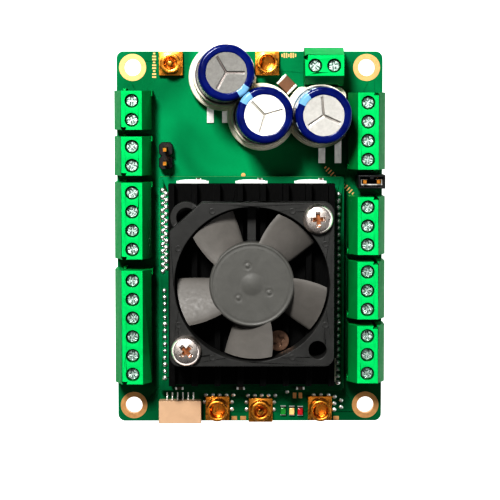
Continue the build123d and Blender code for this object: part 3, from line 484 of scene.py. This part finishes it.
def centres(node):
    """Plan positions, in millimetres, of the separate solids in a node, from loose islands of its mesh."""
    tidy = bmesh.new()
    tidy.from_mesh(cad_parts[node].data)
    bmesh.ops.remove_doubles(tidy, verts=tidy.verts, dist=1e-6)
    tidy.verts.ensure_lookup_table()
    seen, places = set(), []
    for first in tidy.verts:
        if first.index in seen:
            continue
        island, queue = [], [first]
        seen.add(first.index)
        while queue:
            vertex = queue.pop()
            island.append(vertex.co)
            for edge in vertex.link_edges:
                other = edge.other_vert(vertex)
                if other.index not in seen:
                    seen.add(other.index)
                    queue.append(other)
        low = [min(co[axis] for co in island) for axis in range(3)]
        high = [max(co[axis] for co in island) for axis in range(3)]
        places.append(((low[0] + high[0]) / 2 / MM, (low[1] + high[1]) / 2 / MM))
    tidy.free()
    return places


MODULE_PINS = centres("module_pins")


def solder_domes():
    """A rounded dome of solder over each module pin, each a little different."""
    parts = []
    for x, y in MODULE_PINS:
        vertices, faces = dome(0.52 * random.uniform(0.9, 1.06), random.uniform(0.36, 0.44), 12, 4)
        parts.append((vertices + (x + random.uniform(-0.04, 0.04), y, MODULE_TOP), faces))
    piece = finish_piece("module_solder_domes", *joined(parts), "board", solder, 60)
    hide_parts("module_solder")


def underside_joints():
    """Under the board: a cone of solder round each pin that comes through, narrowing to the pin's end."""
    fillet = [(0.75, 0.0), (0.6, -0.12), (0.38, -0.4), (0.26, -0.75), (0.0, -0.8)]
    small = [(r * 0.6, z) for r, z in fillet]
    tails = [(x, y, 0) for x, y in tail_places()]
    posts = [(x, y, 0) for x, y in centres("header_pins")]
    pins = [(x, y, 0) for x, y in MODULE_PINS]
    cones = joined([
        repeated(lathe([(0, 0)] + fillet, 12), tails + posts),
        repeated(lathe([(0, 0)] + small, 10), pins),
    ])
    finish_piece("underside_solder", *cones, "board", solder, 60)


TAIL_IN = 19.9          # from the board's middle to each row of terminal contacts
SIDE_POLES = 27         # poles in the blocks down the two long sides


def tail_places():
    """Where each terminal contact comes through the board."""
    places = []
    for side in (-1, 1):
        for i in range(1, 5):
            low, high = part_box(f"terminal_block_{'left' if side < 0 else 'right'}_{i}")
            places += [(side * TAIL_IN, y) for y in poles_between(low.y / MM, high.y / MM)]
    low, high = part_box("terminal_block_top")
    return places + [(x, high.y / MM - 5.3) for x in poles_between(low.x / MM, high.x / MM)]


def poles_between(low, high):
    """Pole positions along a block, one pitch apart about its middle; the rib at one end makes it longer."""
    count = int((high - low) // POLE_PITCH)
    middle = (low + high) / 2
    return [middle + (i - (count - 1) / 2) * POLE_PITCH for i in range(count)]


def surface_marks():
    """Flat gold pads, a test point and short bars on the board."""
    z0, z1 = BOARD_T, BOARD_T + 0.04
    parts = [plate(8.55, -30.2, 0.7, 1.1, z0, z1), plate(9.65, -30.2, 0.7, 1.1, z0, z1)]
    parts += [plate(x, -34.5, 1.1, 0.75, z0, z1) for x in (-2.95, -1.25, 16.45)]
    parts += [plate(-17.95, 34.6 - 0.55 * i, 0.75 if i % 3 else 0.45, 0.3, z0, z1) for i in range(9)]
    parts += [plate(6.1 + 0.42 * i, 34.25, 0.26, 0.95 if i % 3 else 0.6, z0, z1) for i in range(7)]
    for i in range(13):
        along = i / 12
        x, y = 14.3 + 5.2 * along, 13.2 - 4.9 * along
        parts.append(plate(x, y, 0.95 if i % 4 else 0.5, 0.28, z0, z1, 47))
    parts.append((lathe([(0, z1), (0.42, z1), (0.42, z0)], 16, (-1.2, 11.75, 0))))
    finish_piece("surface_pads", *joined(parts), "board", pad_gold)


def stitching_vias():
    """Solder-filled vias in short rows round the lower power contacts."""
    pitch = 1.3
    rows = [(-8.35 + pitch * i, -30.1) for i in range(5)] + [(-0.35 + pitch * i, -30.2) for i in range(5)]
    rows += [(-8.6, -31.45), (-3.4, -31.45), (-3.4, -32.85)]
    rows += [(-0.6, -31.5), (-0.6, -32.9), (4.6, -31.5), (4.6, -32.9)]
    rows += [(12.15 + 1.4 * i, -30.1) for i in range(3)]
    rows += [(16.15, -30.45), (17.4, -31.15), (16.1, -31.75), (17.4, -32.45), (16.1, -32.95)]
    rows += [(7.1, -29.5)]
    dots = repeated(dome(0.42, 0.12, 12, 3), [(x, y, BOARD_T) for x, y in rows])
    finish_piece("stitching_vias", *dots, "board", solder, 60)


def ribbon(path, width, z0, z1):
    """A flat strip along a path of plan points: at each point the edge is half a width to each side,
    square to the mean direction there."""
    path = np.asarray(path, dtype=float)
    step = np.gradient(path, axis=0)
    normal = np.column_stack([-step[:, 1], step[:, 0]]) / np.linalg.norm(step, axis=1)[:, None]
    left, right = path + normal * width / 2, path - normal * width / 2
    ring = [np.column_stack([side, np.full(len(path), z)]) for side, z in
            ((left, z1), (right, z1), (right, z0), (left, z0))]
    points = np.stack(ring, 1)
    faces = list(map(tuple, grid_faces(len(path), 4, wrap=True)))
    last = 4 * (len(path) - 1)
    return points.reshape(-1, 3), faces + [(0, 1, 2, 3), (last + 3, last + 2, last + 1, last)]


def traces():
    """Copper tracks under the mask, as raised strips: level runs joined by 45 degree slants."""
    parts = []
    for x, y in tail_places()[:SIDE_POLES]:
        side = 1 if x < 0 else -1
        target = x + side * 3.0
        bend = 0.7 if y > -8 else -0.7
        path = [(x, y), (x + side * 1.6, y), (x + side * 2.3, y + bend), (target, y + bend)]
        parts.append(ribbon(path, 0.35, BOARD_T - 0.01, BOARD_T + 0.025))
        slant = y + 1.5 * bend
        under = [(x, y), (x + side * 3.0, y), (x + side * (3.0 + 1.5), slant), (x + side * 9, slant)]
        parts.append(ribbon(under, 0.4, -0.025, 0.01))
    for i in range(5):
        x = -13.6 + 0.9 * i
        bend = 20.0 + 0.37 * i
        parts.append(ribbon([(x, 25.5), (x, bend), (x + 2.6, bend - 2.6), (x + 2.6, 12.6)], 0.3,
                            BOARD_T - 0.01, BOARD_T + 0.02))
    parts.append(ribbon([(-17.7, 29.9), (-19.4, 27.9)], 0.16, BOARD_T, BOARD_T + 0.03))
    finish_piece("mask_covered_tracks", *joined(parts), "board", board_green)


def heat_pads():
    """Soft pads between the transistors and the heatsink, squeezed out a little at their visible ends."""
    low, high = (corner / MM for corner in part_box("thermal_pads"))
    parts = []
    for i in range(3):
        x = low.x + 3 + 11 * i
        parts.append(plate(x, (low.y + high.y) / 2 + 0.1, 6.0, high.y - low.y + 0.2, low.z, high.z))
        vertices, faces = lathe([(0, -0.3), (0.2, -0.3), (0.3, 0), (0.2, 0.3), (0, 0.3)], 12)
        vertices = vertices * (9.0, 1, 0.8) + (x, high.y + 0.18, (low.z + high.z) / 2)
        parts.append((vertices, faces))
    piece = finish_piece("heat_pads", *joined(parts), "board", pad_white)
    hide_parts("thermal_pads")


def edge_bar():
    """A pale bar of resist along the lower right edge of the module."""
    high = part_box("module_board")[1]
    bar = plate(high.x / MM - 1.65, -24.9, 0.5, 4.6, MODULE_TOP, MODULE_TOP + 0.05)
    finish_piece("module_edge_bar", *bar, "board", holder_cream)


heat_pads()
edge_bar()
solder_domes()
surface_marks()
stitching_vias()
traces()
underside_joints()


# ==== screw terminals =============================================================================

for side in ("left", "right"):
    for i in range(1, 5):
        softened(f"terminal_block_{side}_{i}", 0.06, terminal_green)
softened("terminal_block_top", 0.06, terminal_green)


def clamp_screws(name, node, body, first_turn):
    """Screw heads with a cross recess. It is deepest within 0.15 mm of either arm's middle line and 0.84 mm
    of the axis, and gone 0.29 mm from the line or 0.94 mm out. The crown is slightly domed."""
    head_r, flat_r, top = 1.12, 0.98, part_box(node)[1].z / MM
    rings = np.concatenate([np.linspace(0, flat_r, 14), [1.05, 1.1, head_r]])
    rounding = [max(0.0, (r - flat_r) / (head_r - flat_r)) ** 2 for r in rings]
    crown = [(r, top - 0.03 * (r / head_r) ** 2 - 0.12 * drop) for r, drop in zip(rings, rounding)]
    profile = crown + [(head_r, top - 0.95), (0.8, top - 0.95), (0.8, top - 3.0), (0, top - 3.0)]
    parts = []
    for i, (x, y) in enumerate(centres(node)):
        turn = first_turn + 67 * i

        def depth(radius, angle, turn=turn):
            """Depth of the recess on the crown."""
            spun = angle - math.radians(turn)
            a, b = np.abs(radius * np.cos(spun)), np.abs(radius * np.sin(spun))
            reach = np.minimum(a, b)
            sunk = 0.42 * np.clip((0.29 - reach) / 0.14, 0, 1) * np.clip((0.94 - radius) / 0.1, 0, 1)
            sunk[len(rings):] = 0.0
            return sunk

        parts.append(lathe(profile, 48, (x, y, 0), depth))
    piece = finish_piece(name, *joined(parts), body, zinc, 40)
    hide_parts(node)


clamp_screws("clamp_screws", "terminal_screws", "board", 20)
for i in (1, 2):
    clamp_screws(f"top_clamp_screw_{i}", f"top_terminal_screw_{i}", f"top_screw_{i}", 50 * i)


# ==== heatsink and fan ============================================================================

softened("heatsink", 0.08, anodised)
# the heatsink screws take coppery nickel darkened as painted shade
softened("heatsink_screws", 0.06, coppery_nickel_shaded, angle=50)
softened("fan_frame", 0.14, fan_dark)


def fan_blades():
    """Five blades. At radius r the leading edge stands at 8.3 degrees less 10.8 degrees times the share of
    the way to the tip; the blade sweeps back from it by 51 degrees at the hub and 37 at the tip. It falls
    gently at first and then steeply, and is thickest in the middle and at the hub."""
    root, tip = 7.6, 13.75
    along = np.linspace(0, 1, 14)[:, None]
    back = np.linspace(0, 1, 22)[None, :]
    radius = root + (tip - root) * along
    share = (radius - 7.8) / 5.95
    angle = np.radians(8.3 - 10.8 * share - (51 - 14 * share) * back)
    fall = 1.7 + (5.45 - 2.3) * (1 - back ** 1.15) + 0.25 * np.sin(back * math.pi)
    half = 0.12 + 0.26 * np.sqrt(np.clip(1 - (2 * back - 1) ** 4, 0, 1)) + 0.22 * (1 - along) ** 3
    parts = []
    for turn in range(5):
        spun = angle + turn * TURN / 5
        x, y = radius * np.cos(spun), radius * np.sin(spun)
        upper = np.stack([x, y, fall + half + 0.3], -1)
        lower = np.stack([x, y, fall - half + 0.3], -1)[:, ::-1]
        shell = np.concatenate([upper, lower], 1)
        columns = shell.shape[1]
        faces = list(map(tuple, grid_faces(len(along), columns, wrap=True)))
        faces.append(tuple(range(columns)))
        faces.append(tuple(range((len(along) - 1) * columns, len(along) * columns))[::-1])
        parts.append((shell.reshape(-1, 3), faces))
    vertices = np.vstack([part[0] for part in parts]) + (FAN_X, FAN_Y, FAN_Z)
    count = len(parts[0][0])
    faces = [tuple(i + turn * count for i in face) for turn, part in enumerate(parts) for face in part[1]]
    return finish_piece("fan_blades", vertices, faces, "fan_rotor_body", lit_blade_grey, 50)


CROWN_RINGS = 40        # rings of the hub's profile that make its top


def hub_relief(radius, angle):
    """How far the hub's top sinks: a low dome stands in the middle, with three small pips round it, each in a
    shallow ring."""
    sunk = -0.04 - 0.3 * np.clip(1 - (radius / 2.1) ** 2, 0, 1) ** 1.2
    for mark in (103, 225, 335):
        x, y = 3.5 * math.cos(math.radians(mark)), 3.5 * math.sin(math.radians(mark))
        gap = np.hypot(radius * np.cos(angle) - x, radius * np.sin(angle) - y)
        sunk = sunk - 0.16 * np.exp(-(gap / 0.26) ** 2) + 0.1 * np.exp(-((gap - 0.55) / 0.16) ** 2)
    return np.where(radius < 6.8, sunk, 0.0)


def fan_hub():
    """The hub cup, turned from its profile: flat top, bevelled rim, skirt, and the hollow inside."""
    top, foot = 5.9, 1.5
    crown = [(r, top - 0.4) for r in np.linspace(0.0, 7.1, CROWN_RINGS)]
    rim = [(7.22, top - 0.38), (7.34, top - 0.28), (7.5, top - 0.3), (7.72, top - 0.5), (7.8, top - 0.75)]
    skirt = [(7.8, foot + 0.1), (7.7, foot), (7.1, foot), (7.0, foot + 0.1)]
    skirt += [(7.0, top - 1.1), (0.0, top - 1.1)]
    part = lathe(crown + rim + skirt, 120, (FAN_X, FAN_Y, FAN_Z), hub_relief_on_top())
    finish_piece("fan_hub", *part, "fan_rotor_body", rotor_grey, 50)


def hub_relief_on_top():
    """Only the crown's rings of the profile take the relief."""
    def depth(radius, angle):
        """Depth over the whole profile."""
        sunk = hub_relief(radius, angle)
        sunk[CROWN_RINGS:] = 0.0
        return sunk
    return depth


blades = fan_blades()
fan_hub()
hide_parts("fan_rotor")


def ejector_marks():
    """Marks that the mould's pins leave beside the corner holes: each a shallow cup with a faint rim."""
    places = [(-7.2, 13.4), (7.4, 13.4), (7.4, -13.4), (-7.2, -13.4),
              (13.4, 7.4), (13.4, -7.4), (-13.4, -7.4), (-13.4, 6.6)]
    cup = lathe([(0, 0.012), (0.36, 0.014), (0.5, 0.045), (0.6, 0.03), (0.62, 0.0), (0, 0)], 20)
    marks = repeated(cup, [(FAN_X + x, FAN_Y + y, FAN_TOP) for x, y in places])
    finish_piece("frame_mould_marks", *marks, "board", fan_dark, 60)


ejector_marks()


SCREW_OFFSET = 12       # from the fan's axis to each of its screws, across and along


def pan_screws():
    """Two M3 pan heads: the top is a low dome with a cross recess whose sides slope in towards its floor; a
    dark coppery plate at the floor of each recess is painted shade.
    """
    # painted shade: a dark coppery colour for the floor of each cross recess
    shaded_recess_floor = metal("coppery recess floor darkened as painted shade", (0.36, 0.16, 0.08), 0.5, 0.3, scale=4.0)
    parts, recesses = [], []
    for sign, turn in ((1, 4), (-1, 45)):
        x, y = FAN_X + SCREW_OFFSET * sign, FAN_Y + SCREW_OFFSET * sign
        steps = np.concatenate([np.linspace(0, 1.7, 26), np.linspace(1.8, 2.75, 14)])
        crown = 1.9 - 0.28 * (steps / 2.4) ** 2 - 0.9 * np.clip((steps - 2.1) / 0.65, 0, 1) ** 2.2
        profile = list(zip(steps, crown)) + [(2.75, 0.1), (2.65, 0.0), (0, 0)]
        parts.append(lathe(profile, 144, (x, y, FAN_TOP), recess_depth(turn, len(steps))))
        recesses.append(plate(x, y, 1.9, 1.9, FAN_TOP + 0.55, FAN_TOP + 0.72, turn))
    heads = finish_piece("fan_screw_heads", *joined(parts), "board", nickel, 40)
    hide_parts("fan_screws")
    finish_piece("fan_screw_recess_floors", *joined(recesses), "board", shaded_recess_floor.material)


def recess_depth(turn, rings):
    """Depth of the cross: none outside arms 0.74 mm wide and 2.7 mm long, full within 0.84 of that."""
    def depth(radius, angle):
        """Depth over the whole profile; only the crown's rings are cut."""
        spun = angle - math.radians(turn)
        x, y = np.abs(radius * np.cos(spun)), np.abs(radius * np.sin(spun))
        arm = np.minimum(np.maximum(x / 1.35, y / 0.37), np.maximum(y / 1.35, x / 0.37))
        sunk = 1.25 * np.clip((1.0 - arm) / 0.16, 0, 1)
        sunk[rings:] = 0.0
        return sunk
    return depth


pan_screws()


# ==== capacitors ==================================================================================

CAN_FEET = [(-5.1, 30.2), (2.15, 22.75), (13.1, 23.25)]
CAN_TOPS = [(-4.3, 30.85), (2.65, 23.2), (13.3, 23.1)]
CAN_TOP_Z = 17.4
CAN_FLOOR_Z = 2.4
CAN_H = CAN_TOP_Z - CAN_FLOOR_Z - 0.6
SLEEVE_R = 5.15
SCORE_DEPTH = 0.15
VENT_TURNS = (120, 15, 95)
STRIPE_TURNS = (-47, 138, 140)


def lean(index):
    """The turn and the foot of a leaning capacitor, for pieces made upright at the origin."""
    foot, top = CAN_FEET[index], CAN_TOPS[index]
    axis = Vector((top[0] - foot[0], top[1] - foot[1], CAN_TOP_Z - CAN_FLOOR_Z))
    tilt = math.atan2(math.hypot(axis.x, axis.y), axis.z)
    lift = SLEEVE_R * math.sin(tilt) + 0.02
    turn = Vector((0, 0, 1)).rotation_difference(axis.normalized()).to_matrix()
    return np.array(turn), np.array((foot[0], foot[1], CAN_FLOOR_Z + lift))


def leaned(part, index):
    """A (vertices, faces) pair stood where its capacitor leans."""
    turn, foot = lean(index)
    vertices, faces = part
    return vertices @ turn.T + foot, faces


def sleeve_finish(name, stripe, marks):
    """Glossy shrunk sleeve: deep blue, with a pale polarity stripe down one side and short bars beside it."""
    finish = Finish(name, (0.001, 0.008, 0.16), 0.26, Specular_IOR_Level=0.2)
    around = finish.attribute("around")
    split = finish.tree.nodes.new("ShaderNodeSeparateXYZ")
    finish.tree.links.new(around, split.inputs["Vector"])

    def band(turn, half_width):
        """1 within a number of degrees of a direction, by the cosine of the angle between them."""
        x = finish.math("MULTIPLY", split.outputs["X"], math.cos(math.radians(turn)))
        y = finish.math("MULTIPLY", split.outputs["Y"], math.sin(math.radians(turn)))
        return finish.math("GREATER_THAN", finish.math("ADD", x, y), math.cos(math.radians(half_width)))

    deep = finish.ramp(finish.noise(0.5, 3), (0.3, (0.0008, 0.005, 0.075)), (0.7, (0.0012, 0.01, 0.13)))
    pale = finish.mix(band(stripe, 14), deep, (0.17, 0.36, 0.55))
    ticks = None
    for turn, half in marks:
        tick = band(turn, half)
        ticks = tick if ticks is None else finish.math("MAXIMUM", ticks, tick)
    level = finish.math("MODULO", split.outputs["Z"], 1.3)
    ticks = finish.math("MULTIPLY", ticks, finish.math("GREATER_THAN", level, 0.45))
    finish.colour(finish.mix(ticks, pale, (0.55, 0.66, 0.82)))
    finish.roughness(finish.noise(1.2, 3), 0.14, 0.28)
    return finish.bump(finish.noise(0.8, 3, 0.6), 0.05).material


def sleeves():
    """Each sleeve is turned from a profile that curls in over the can's shoulder, where it wrinkles."""
    marks = [((-5, 3), (-18, 3), (25, 4)), ((60, 4), (-12, 3)),
             ((110, 5), (125, 5), (160, 6), (200, 5), (212, 4))]
    for i in range(3):
        t = np.linspace(0, math.pi / 2, 8)
        outer = [(SLEEVE_R, z) for z in np.linspace(0.3, CAN_H - 0.55, 22)]
        shoulder = [(4.55 + 0.6 * math.cos(a), CAN_H - 0.45 + 0.62 * math.sin(a)) for a in t]
        lip = [(4.1, CAN_H + 0.18), (3.84, CAN_H + 0.17), (3.75, CAN_H + 0.12), (3.76, CAN_H + 0.02),
               (4.3, CAN_H - 0.02)]
        inner = [(4.9, CAN_H - 0.5), (5.0, CAN_H - 1.0), (5.0, 0.3), (SLEEVE_R, 0.3)]
        profile = np.array(outer + shoulder + lip + inner)
        segments = 96
        vertices, faces = lathe(profile, segments)
        angle = np.tile(np.arange(segments) * TURN / segments, len(profile))
        height = np.repeat(profile[:, 1], segments)
        groove = 0.16 * np.exp(-((height - 2.6) / 0.45) ** 2)
        wave = 0.03 * np.sin(angle * 9 + i) * np.exp(-((height - CAN_H) / 0.5) ** 2)
        scale = 1 - (groove + wave) / SLEEVE_R
        vertices[:, 0] *= scale
        vertices[:, 1] *= scale
        around = np.column_stack([np.cos(angle), np.sin(angle), height])
        finish = sleeve_finish(f"blue sleeve {i + 1}", STRIPE_TURNS[i], marks[i])
        piece = finish_piece(f"sleeve_{i + 1}", *leaned((vertices, faces), i), "board", finish, 60,
                             {"around": around})
        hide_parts(f"capacitor_sleeve_{i + 1}")


def vent_depth(turn, rings):
    """Depth of the scored vent: three V grooves 0.48 mm wide and 0.15 mm deep that meet in the middle."""
    def depth(radius, angle):
        """Depth over the whole profile; only the disc's rings are scored."""
        sunk = np.zeros_like(radius)
        for arm in (0, 120, 240):
            spun = angle - math.radians(turn + arm)
            side = np.abs(radius * np.sin(spun))
            reach = (np.cos(spun) > 0) & (radius < 3.35)
            groove = SCORE_DEPTH * np.clip(1 - side / 0.24, 0, 1)
            sunk = np.maximum(sunk, np.where(reach | (radius < 0.2), groove, 0))
        sunk[rings:] = 0.0
        return sunk
    return depth


def can_finish(name, shade, line):
    """Drawn aluminium, slightly cloudy and speckled; the scored lines of the vent take a second colour that
    is painted light: a painted highlight where it is lighter than the disc, painted shade in the grooves
    where it is darker.
    """
    finish = Finish(name, (shade,) * 3, 0.5, metallic=1.0)
    warm = (1.0, 0.98, 0.93)
    clouds = finish.ramp(finish.noise(1.1, 4, 0.7), (0.3, tuple(shade * 0.82 * c for c in warm)),
                         (0.7, tuple(shade * c for c in warm)))
    score = finish.tree.nodes.new("ShaderNodeSeparateXYZ")
    finish.tree.links.new(finish.attribute("score"), score.inputs["Vector"])
    finish.colour(finish.mix(score.outputs["X"], clouds, line))
    finish.roughness(finish.noise(3.0, 3, 0.6), 0.44, 0.6)
    return finish.bump(finish.noise(3.5, 3, 0.6), 0.02).material


# Disc shade and scored-line colour for each can. The three cans are alike: the grey first disc and the
# near-white others are painted reflection, and the lines are a painted highlight on the first can and painted
# groove shade on the other two.
CAN_PAINTED_SHADES = (
    (0.2, (0.5, 0.45, 0.43)),
    (0.72, (0.56, 0.53, 0.47)),
    (0.52, (0.36, 0.33, 0.3)),
)


def cans():
    """Each can's top is a disc with the scored vent; its side is hidden by the sleeve."""
    for i, (shade, line) in enumerate(CAN_PAINTED_SHADES):
        disc_r = 4.6
        rings = np.linspace(0, disc_r, 60)
        profile = [(r, CAN_H - 0.02 + 0.04 * (r / disc_r) ** 2) for r in rings]
        profile += [(4.85, CAN_H - 0.12), (4.96, CAN_H - 0.4), (4.96, 0.2), (4.7, 0.02), (0, 0.02)]
        depth = vent_depth(VENT_TURNS[i], len(rings))
        segments = 180
        part = lathe(profile, segments, depth_of=depth)
        radius = np.array(profile)[:, :1] * np.ones(segments)
        angle = np.arange(segments)[None, :] * TURN / segments * np.ones_like(radius)
        share = (depth(radius, angle) / SCORE_DEPTH).ravel()
        score = np.column_stack([share, share, share])
        finish = can_finish(f"drawn aluminium {i + 1}", shade, line)
        piece = finish_piece(f"can_{i + 1}", *leaned(part, i), "board", finish, 50, {"score": score})
        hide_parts(f"capacitor_can_{i + 1}")


CUP_PROFILE = [(6.2, 0.0), (6.35, 0.15), (6.35, 2.25), (6.28, 2.55), (6.1, 2.8), (5.8, 2.9), (5.55, 2.88),
               (5.4, 2.75), (5.3, 2.4), (5.3, 0.8), (0.0, 0.8), (0.0, 0.0)]
COLLAR_PROFILE = [(5.62, 0.6), (5.62, 4.3), (5.56, 4.5), (5.42, 4.58), (5.26, 4.5), (5.2, 4.3), (5.2, 0.6),
                  (5.62, 0.6)]


def holder():
    """Three cups with fat rounded rims, each with a thin collar round the can; flats clear the neighbours."""
    free = 99.0             # stands for no limit
    limits = [(0.85, free), (free, free), (18.05, 28.35)]
    parts = []
    for i, (x, y) in enumerate(CAN_FEET):
        cup, faces = lathe(CUP_PROFILE, 96, (x, y, BOARD_T))
        beside = cup[:, 1] > (30.2 if i == 0 else -free)
        cup[:, 0] = np.where(beside, np.minimum(cup[:, 0], limits[i][0]), cup[:, 0])
        cup[:, 1] = np.minimum(cup[:, 1], limits[i][1])
        parts.append((cup, faces))
        collar = lathe(COLLAR_PROFILE, 96)
        vertices, faces = leaned(collar, i)
        vertices[:, 0] = np.minimum(vertices[:, 0], limits[i][0] if i else free)
        parts.append((vertices, faces))
    piece = finish_piece("capacitor_cups", *joined(parts), "board", holder_cream, 50)
    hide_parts("capacitor_holder")


sleeves()
cans()
holder()


def chip_capacitor():
    """A ceramic block with tinned ends that wrap a little proud of it."""
    low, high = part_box("chip_capacitor")
    x, y = (low.x + high.x) / 2 / MM, (low.y + high.y) / 2 / MM
    z0, z1 = low.z / MM, high.z / MM
    block = plate(x, y, 2.3, 2.4, z0 + 0.05, z1 - 0.04, -45)
    body = finish_piece("chip_capacitor_body", *block, "board", brown_ceramic)
    shift = 1.35 / math.sqrt(2)
    ends = joined([plate(x + s * shift, y - s * shift, 0.5, 2.5, z0, z1, -45) for s in (-1, 1)])
    caps = finish_piece("chip_capacitor_ends", *ends, "board", tin)
    for piece in (body, caps):
        round_edges(piece, 0.08)
    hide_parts("chip_capacitor")


def round_edges(piece, radius, segments=2):
    """Rounds every crisp edge of a finished piece."""
    edge = piece.modifiers.new("edge", "BEVEL")
    edge.width = radius * MM
    edge.segments = segments
    edge.limit_method = "ANGLE"
    edge.angle_limit = math.radians(CRISP_ANGLE)


chip_capacitor()


# ==== small connectors ============================================================================

softened("pin_contacts", 0.1, gold)
softened("socket_contacts", 0.1, gold)
softened("signal_connector", 0.1, cream_plastic)
softened("header_bodies", 0.1, black_plastic)
softened("jumper_cap", 0.1, black_plastic, body="jumper")


def small_chips():
    """The module's small chips: a ceramic middle between tinned ends."""
    middles, ends = [], []
    for x, y in centres("module_capacitors"):
        wide, tall = (1.0, 0.5) if y > 0 else (1.6, 0.6)
        middles.append(plate(x, y, wide * 0.55, tall * 0.96, MODULE_TOP, MODULE_TOP + tall * 0.94))
        for s in (-1, 1):
            ends.append(plate(x + s * wide * 0.38, y, wide * 0.24, tall, MODULE_TOP, MODULE_TOP + tall))
    body = finish_piece("small_chip_bodies", *joined(middles), "board", tan_ceramic)
    caps = finish_piece("small_chip_ends", *joined(ends), "board", tin)
    round_edges(caps, 0.05)
    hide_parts("module_capacitors")


LAMPS = (("led_green", (0.002, 0.2, 0.02)), ("led_amber", (0.7, 0.44, 0.17)),
         ("led_red", (0.38, 0.004, 0.01)))


def indicators():
    """Each lamp: tinned ends, a dark base and a clear coloured lens that is rounded at its edges."""
    for name, colour in LAMPS:
        low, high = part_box(name)
        x, y = (low.x + high.x) / 2 / MM, (low.y + high.y) / 2 / MM
        z = low.z / MM
        lens = finish_piece(name + "_lens", *plate(x, y - 0.1, 1.0, 1.3, z + 0.3, z + 0.88), "board",
                            indicator(name + " lens", colour))
        round_edges(lens, 0.14, 3)
        finish_piece(name + "_base", *plate(x, y, 1.05, 1.5, z + 0.02, z + 0.32), "board", black_plastic)
        ends = joined([plate(x, y + s * 0.84, 1.05, 0.22, z, z + 0.4) for s in (-1, 1)])
        finish_piece(name + "_ends", *ends, "board", tin)
        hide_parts(name)


small_chips()
indicators()


# ==== floor, light and camera =====================================================================

def stage_floor():
    """A wide floor that the board's pins stand on; most of its whiteness is its own glow."""
    finish = Finish("pale floor", (0.93, 0.93, 0.93), 0.8)
    finish.colour(finish.ramp(finish.noise(0.004, 2), (0.3, 0.22), (0.7, 0.23)))
    finish.shader.inputs["Emission Color"].default_value = (1, 1, 1, 1)
    finish.shader.inputs["Emission Strength"].default_value = 0.95
    half = 3000
    mesh = bpy.data.meshes.new("floor")
    mesh.from_pydata([(x * half * MM, y * half * MM, (FLOOR_Z - 0.02) * MM)
                      for x, y in ((-1, -1), (1, -1), (1, 1), (-1, 1))], [], [(0, 1, 2, 3)])
    mesh.materials.append(finish.material)
    floor = bpy.data.objects.new("floor", mesh)
    bpy.context.scene.collection.objects.link(floor)


def area_light(name, place, target, size, power, colour=(1, 1, 1)):
    """A square soft light that points at a target, all in millimetres."""
    data = bpy.data.lights.new(name, "AREA")
    data.size = size * MM
    data.energy = power
    data.color = colour
    light = bpy.data.objects.new(name, data)
    place, target = Vector(place) * MM, Vector(target) * MM
    light.location = place
    light.rotation_euler = (target - place).to_track_quat("-Z", "Y").to_euler()
    bpy.context.scene.collection.objects.link(light)


def studio():
    """A key light 120 mm across, high beyond the capacitor end and to the left, an even panel overhead that
    the bright metal mirrors, a weaker fill, and a dim white room."""
    area_light("key", (-132, 330, 560), (0, 0, 5), 120, 6.0, (1.0, 0.99, 0.97))
    area_light("overhead", (0, 20, 900), (0, 0, 5), 420, 0.26)
    area_light("fill", (520, -120, 330), (0, 0, 5), 300, 0.7)
    world = bpy.data.worlds.new("white room")
    world.use_nodes = True
    background = world.node_tree.nodes["Background"]
    background.inputs["Color"].default_value = (1, 1, 1, 1)
    background.inputs["Strength"].default_value = 0.06
    bpy.context.scene.world = world
    bpy.context.scene.view_settings.view_transform = "Standard"
    bpy.context.scene.view_settings.look = "High Contrast"


CAMERA_PLACE = (-2.9, 25.7, 379.2)
CAMERA_TURN = (4.26, 0.45, 0.01)


def camera():
    """A long lens almost straight above the board."""
    data = bpy.data.cameras.new("camera")
    data.lens = 144
    data.sensor_width = 36
    data.clip_start = 0.01
    data.clip_end = 20
    view = bpy.data.objects.new("camera", data)
    bpy.context.scene.collection.objects.link(view)
    about = [Matrix.Rotation(math.radians(a), 3, axis) for a, axis in zip(CAMERA_TURN, "XYZ")]
    turn = (about[0] @ about[1] @ about[2]).transposed().to_4x4()
    view.matrix_world = Matrix.Translation(Vector(CAMERA_PLACE) * MM) @ turn
    bpy.context.scene.camera = view


stage_floor()
studio()
camera()
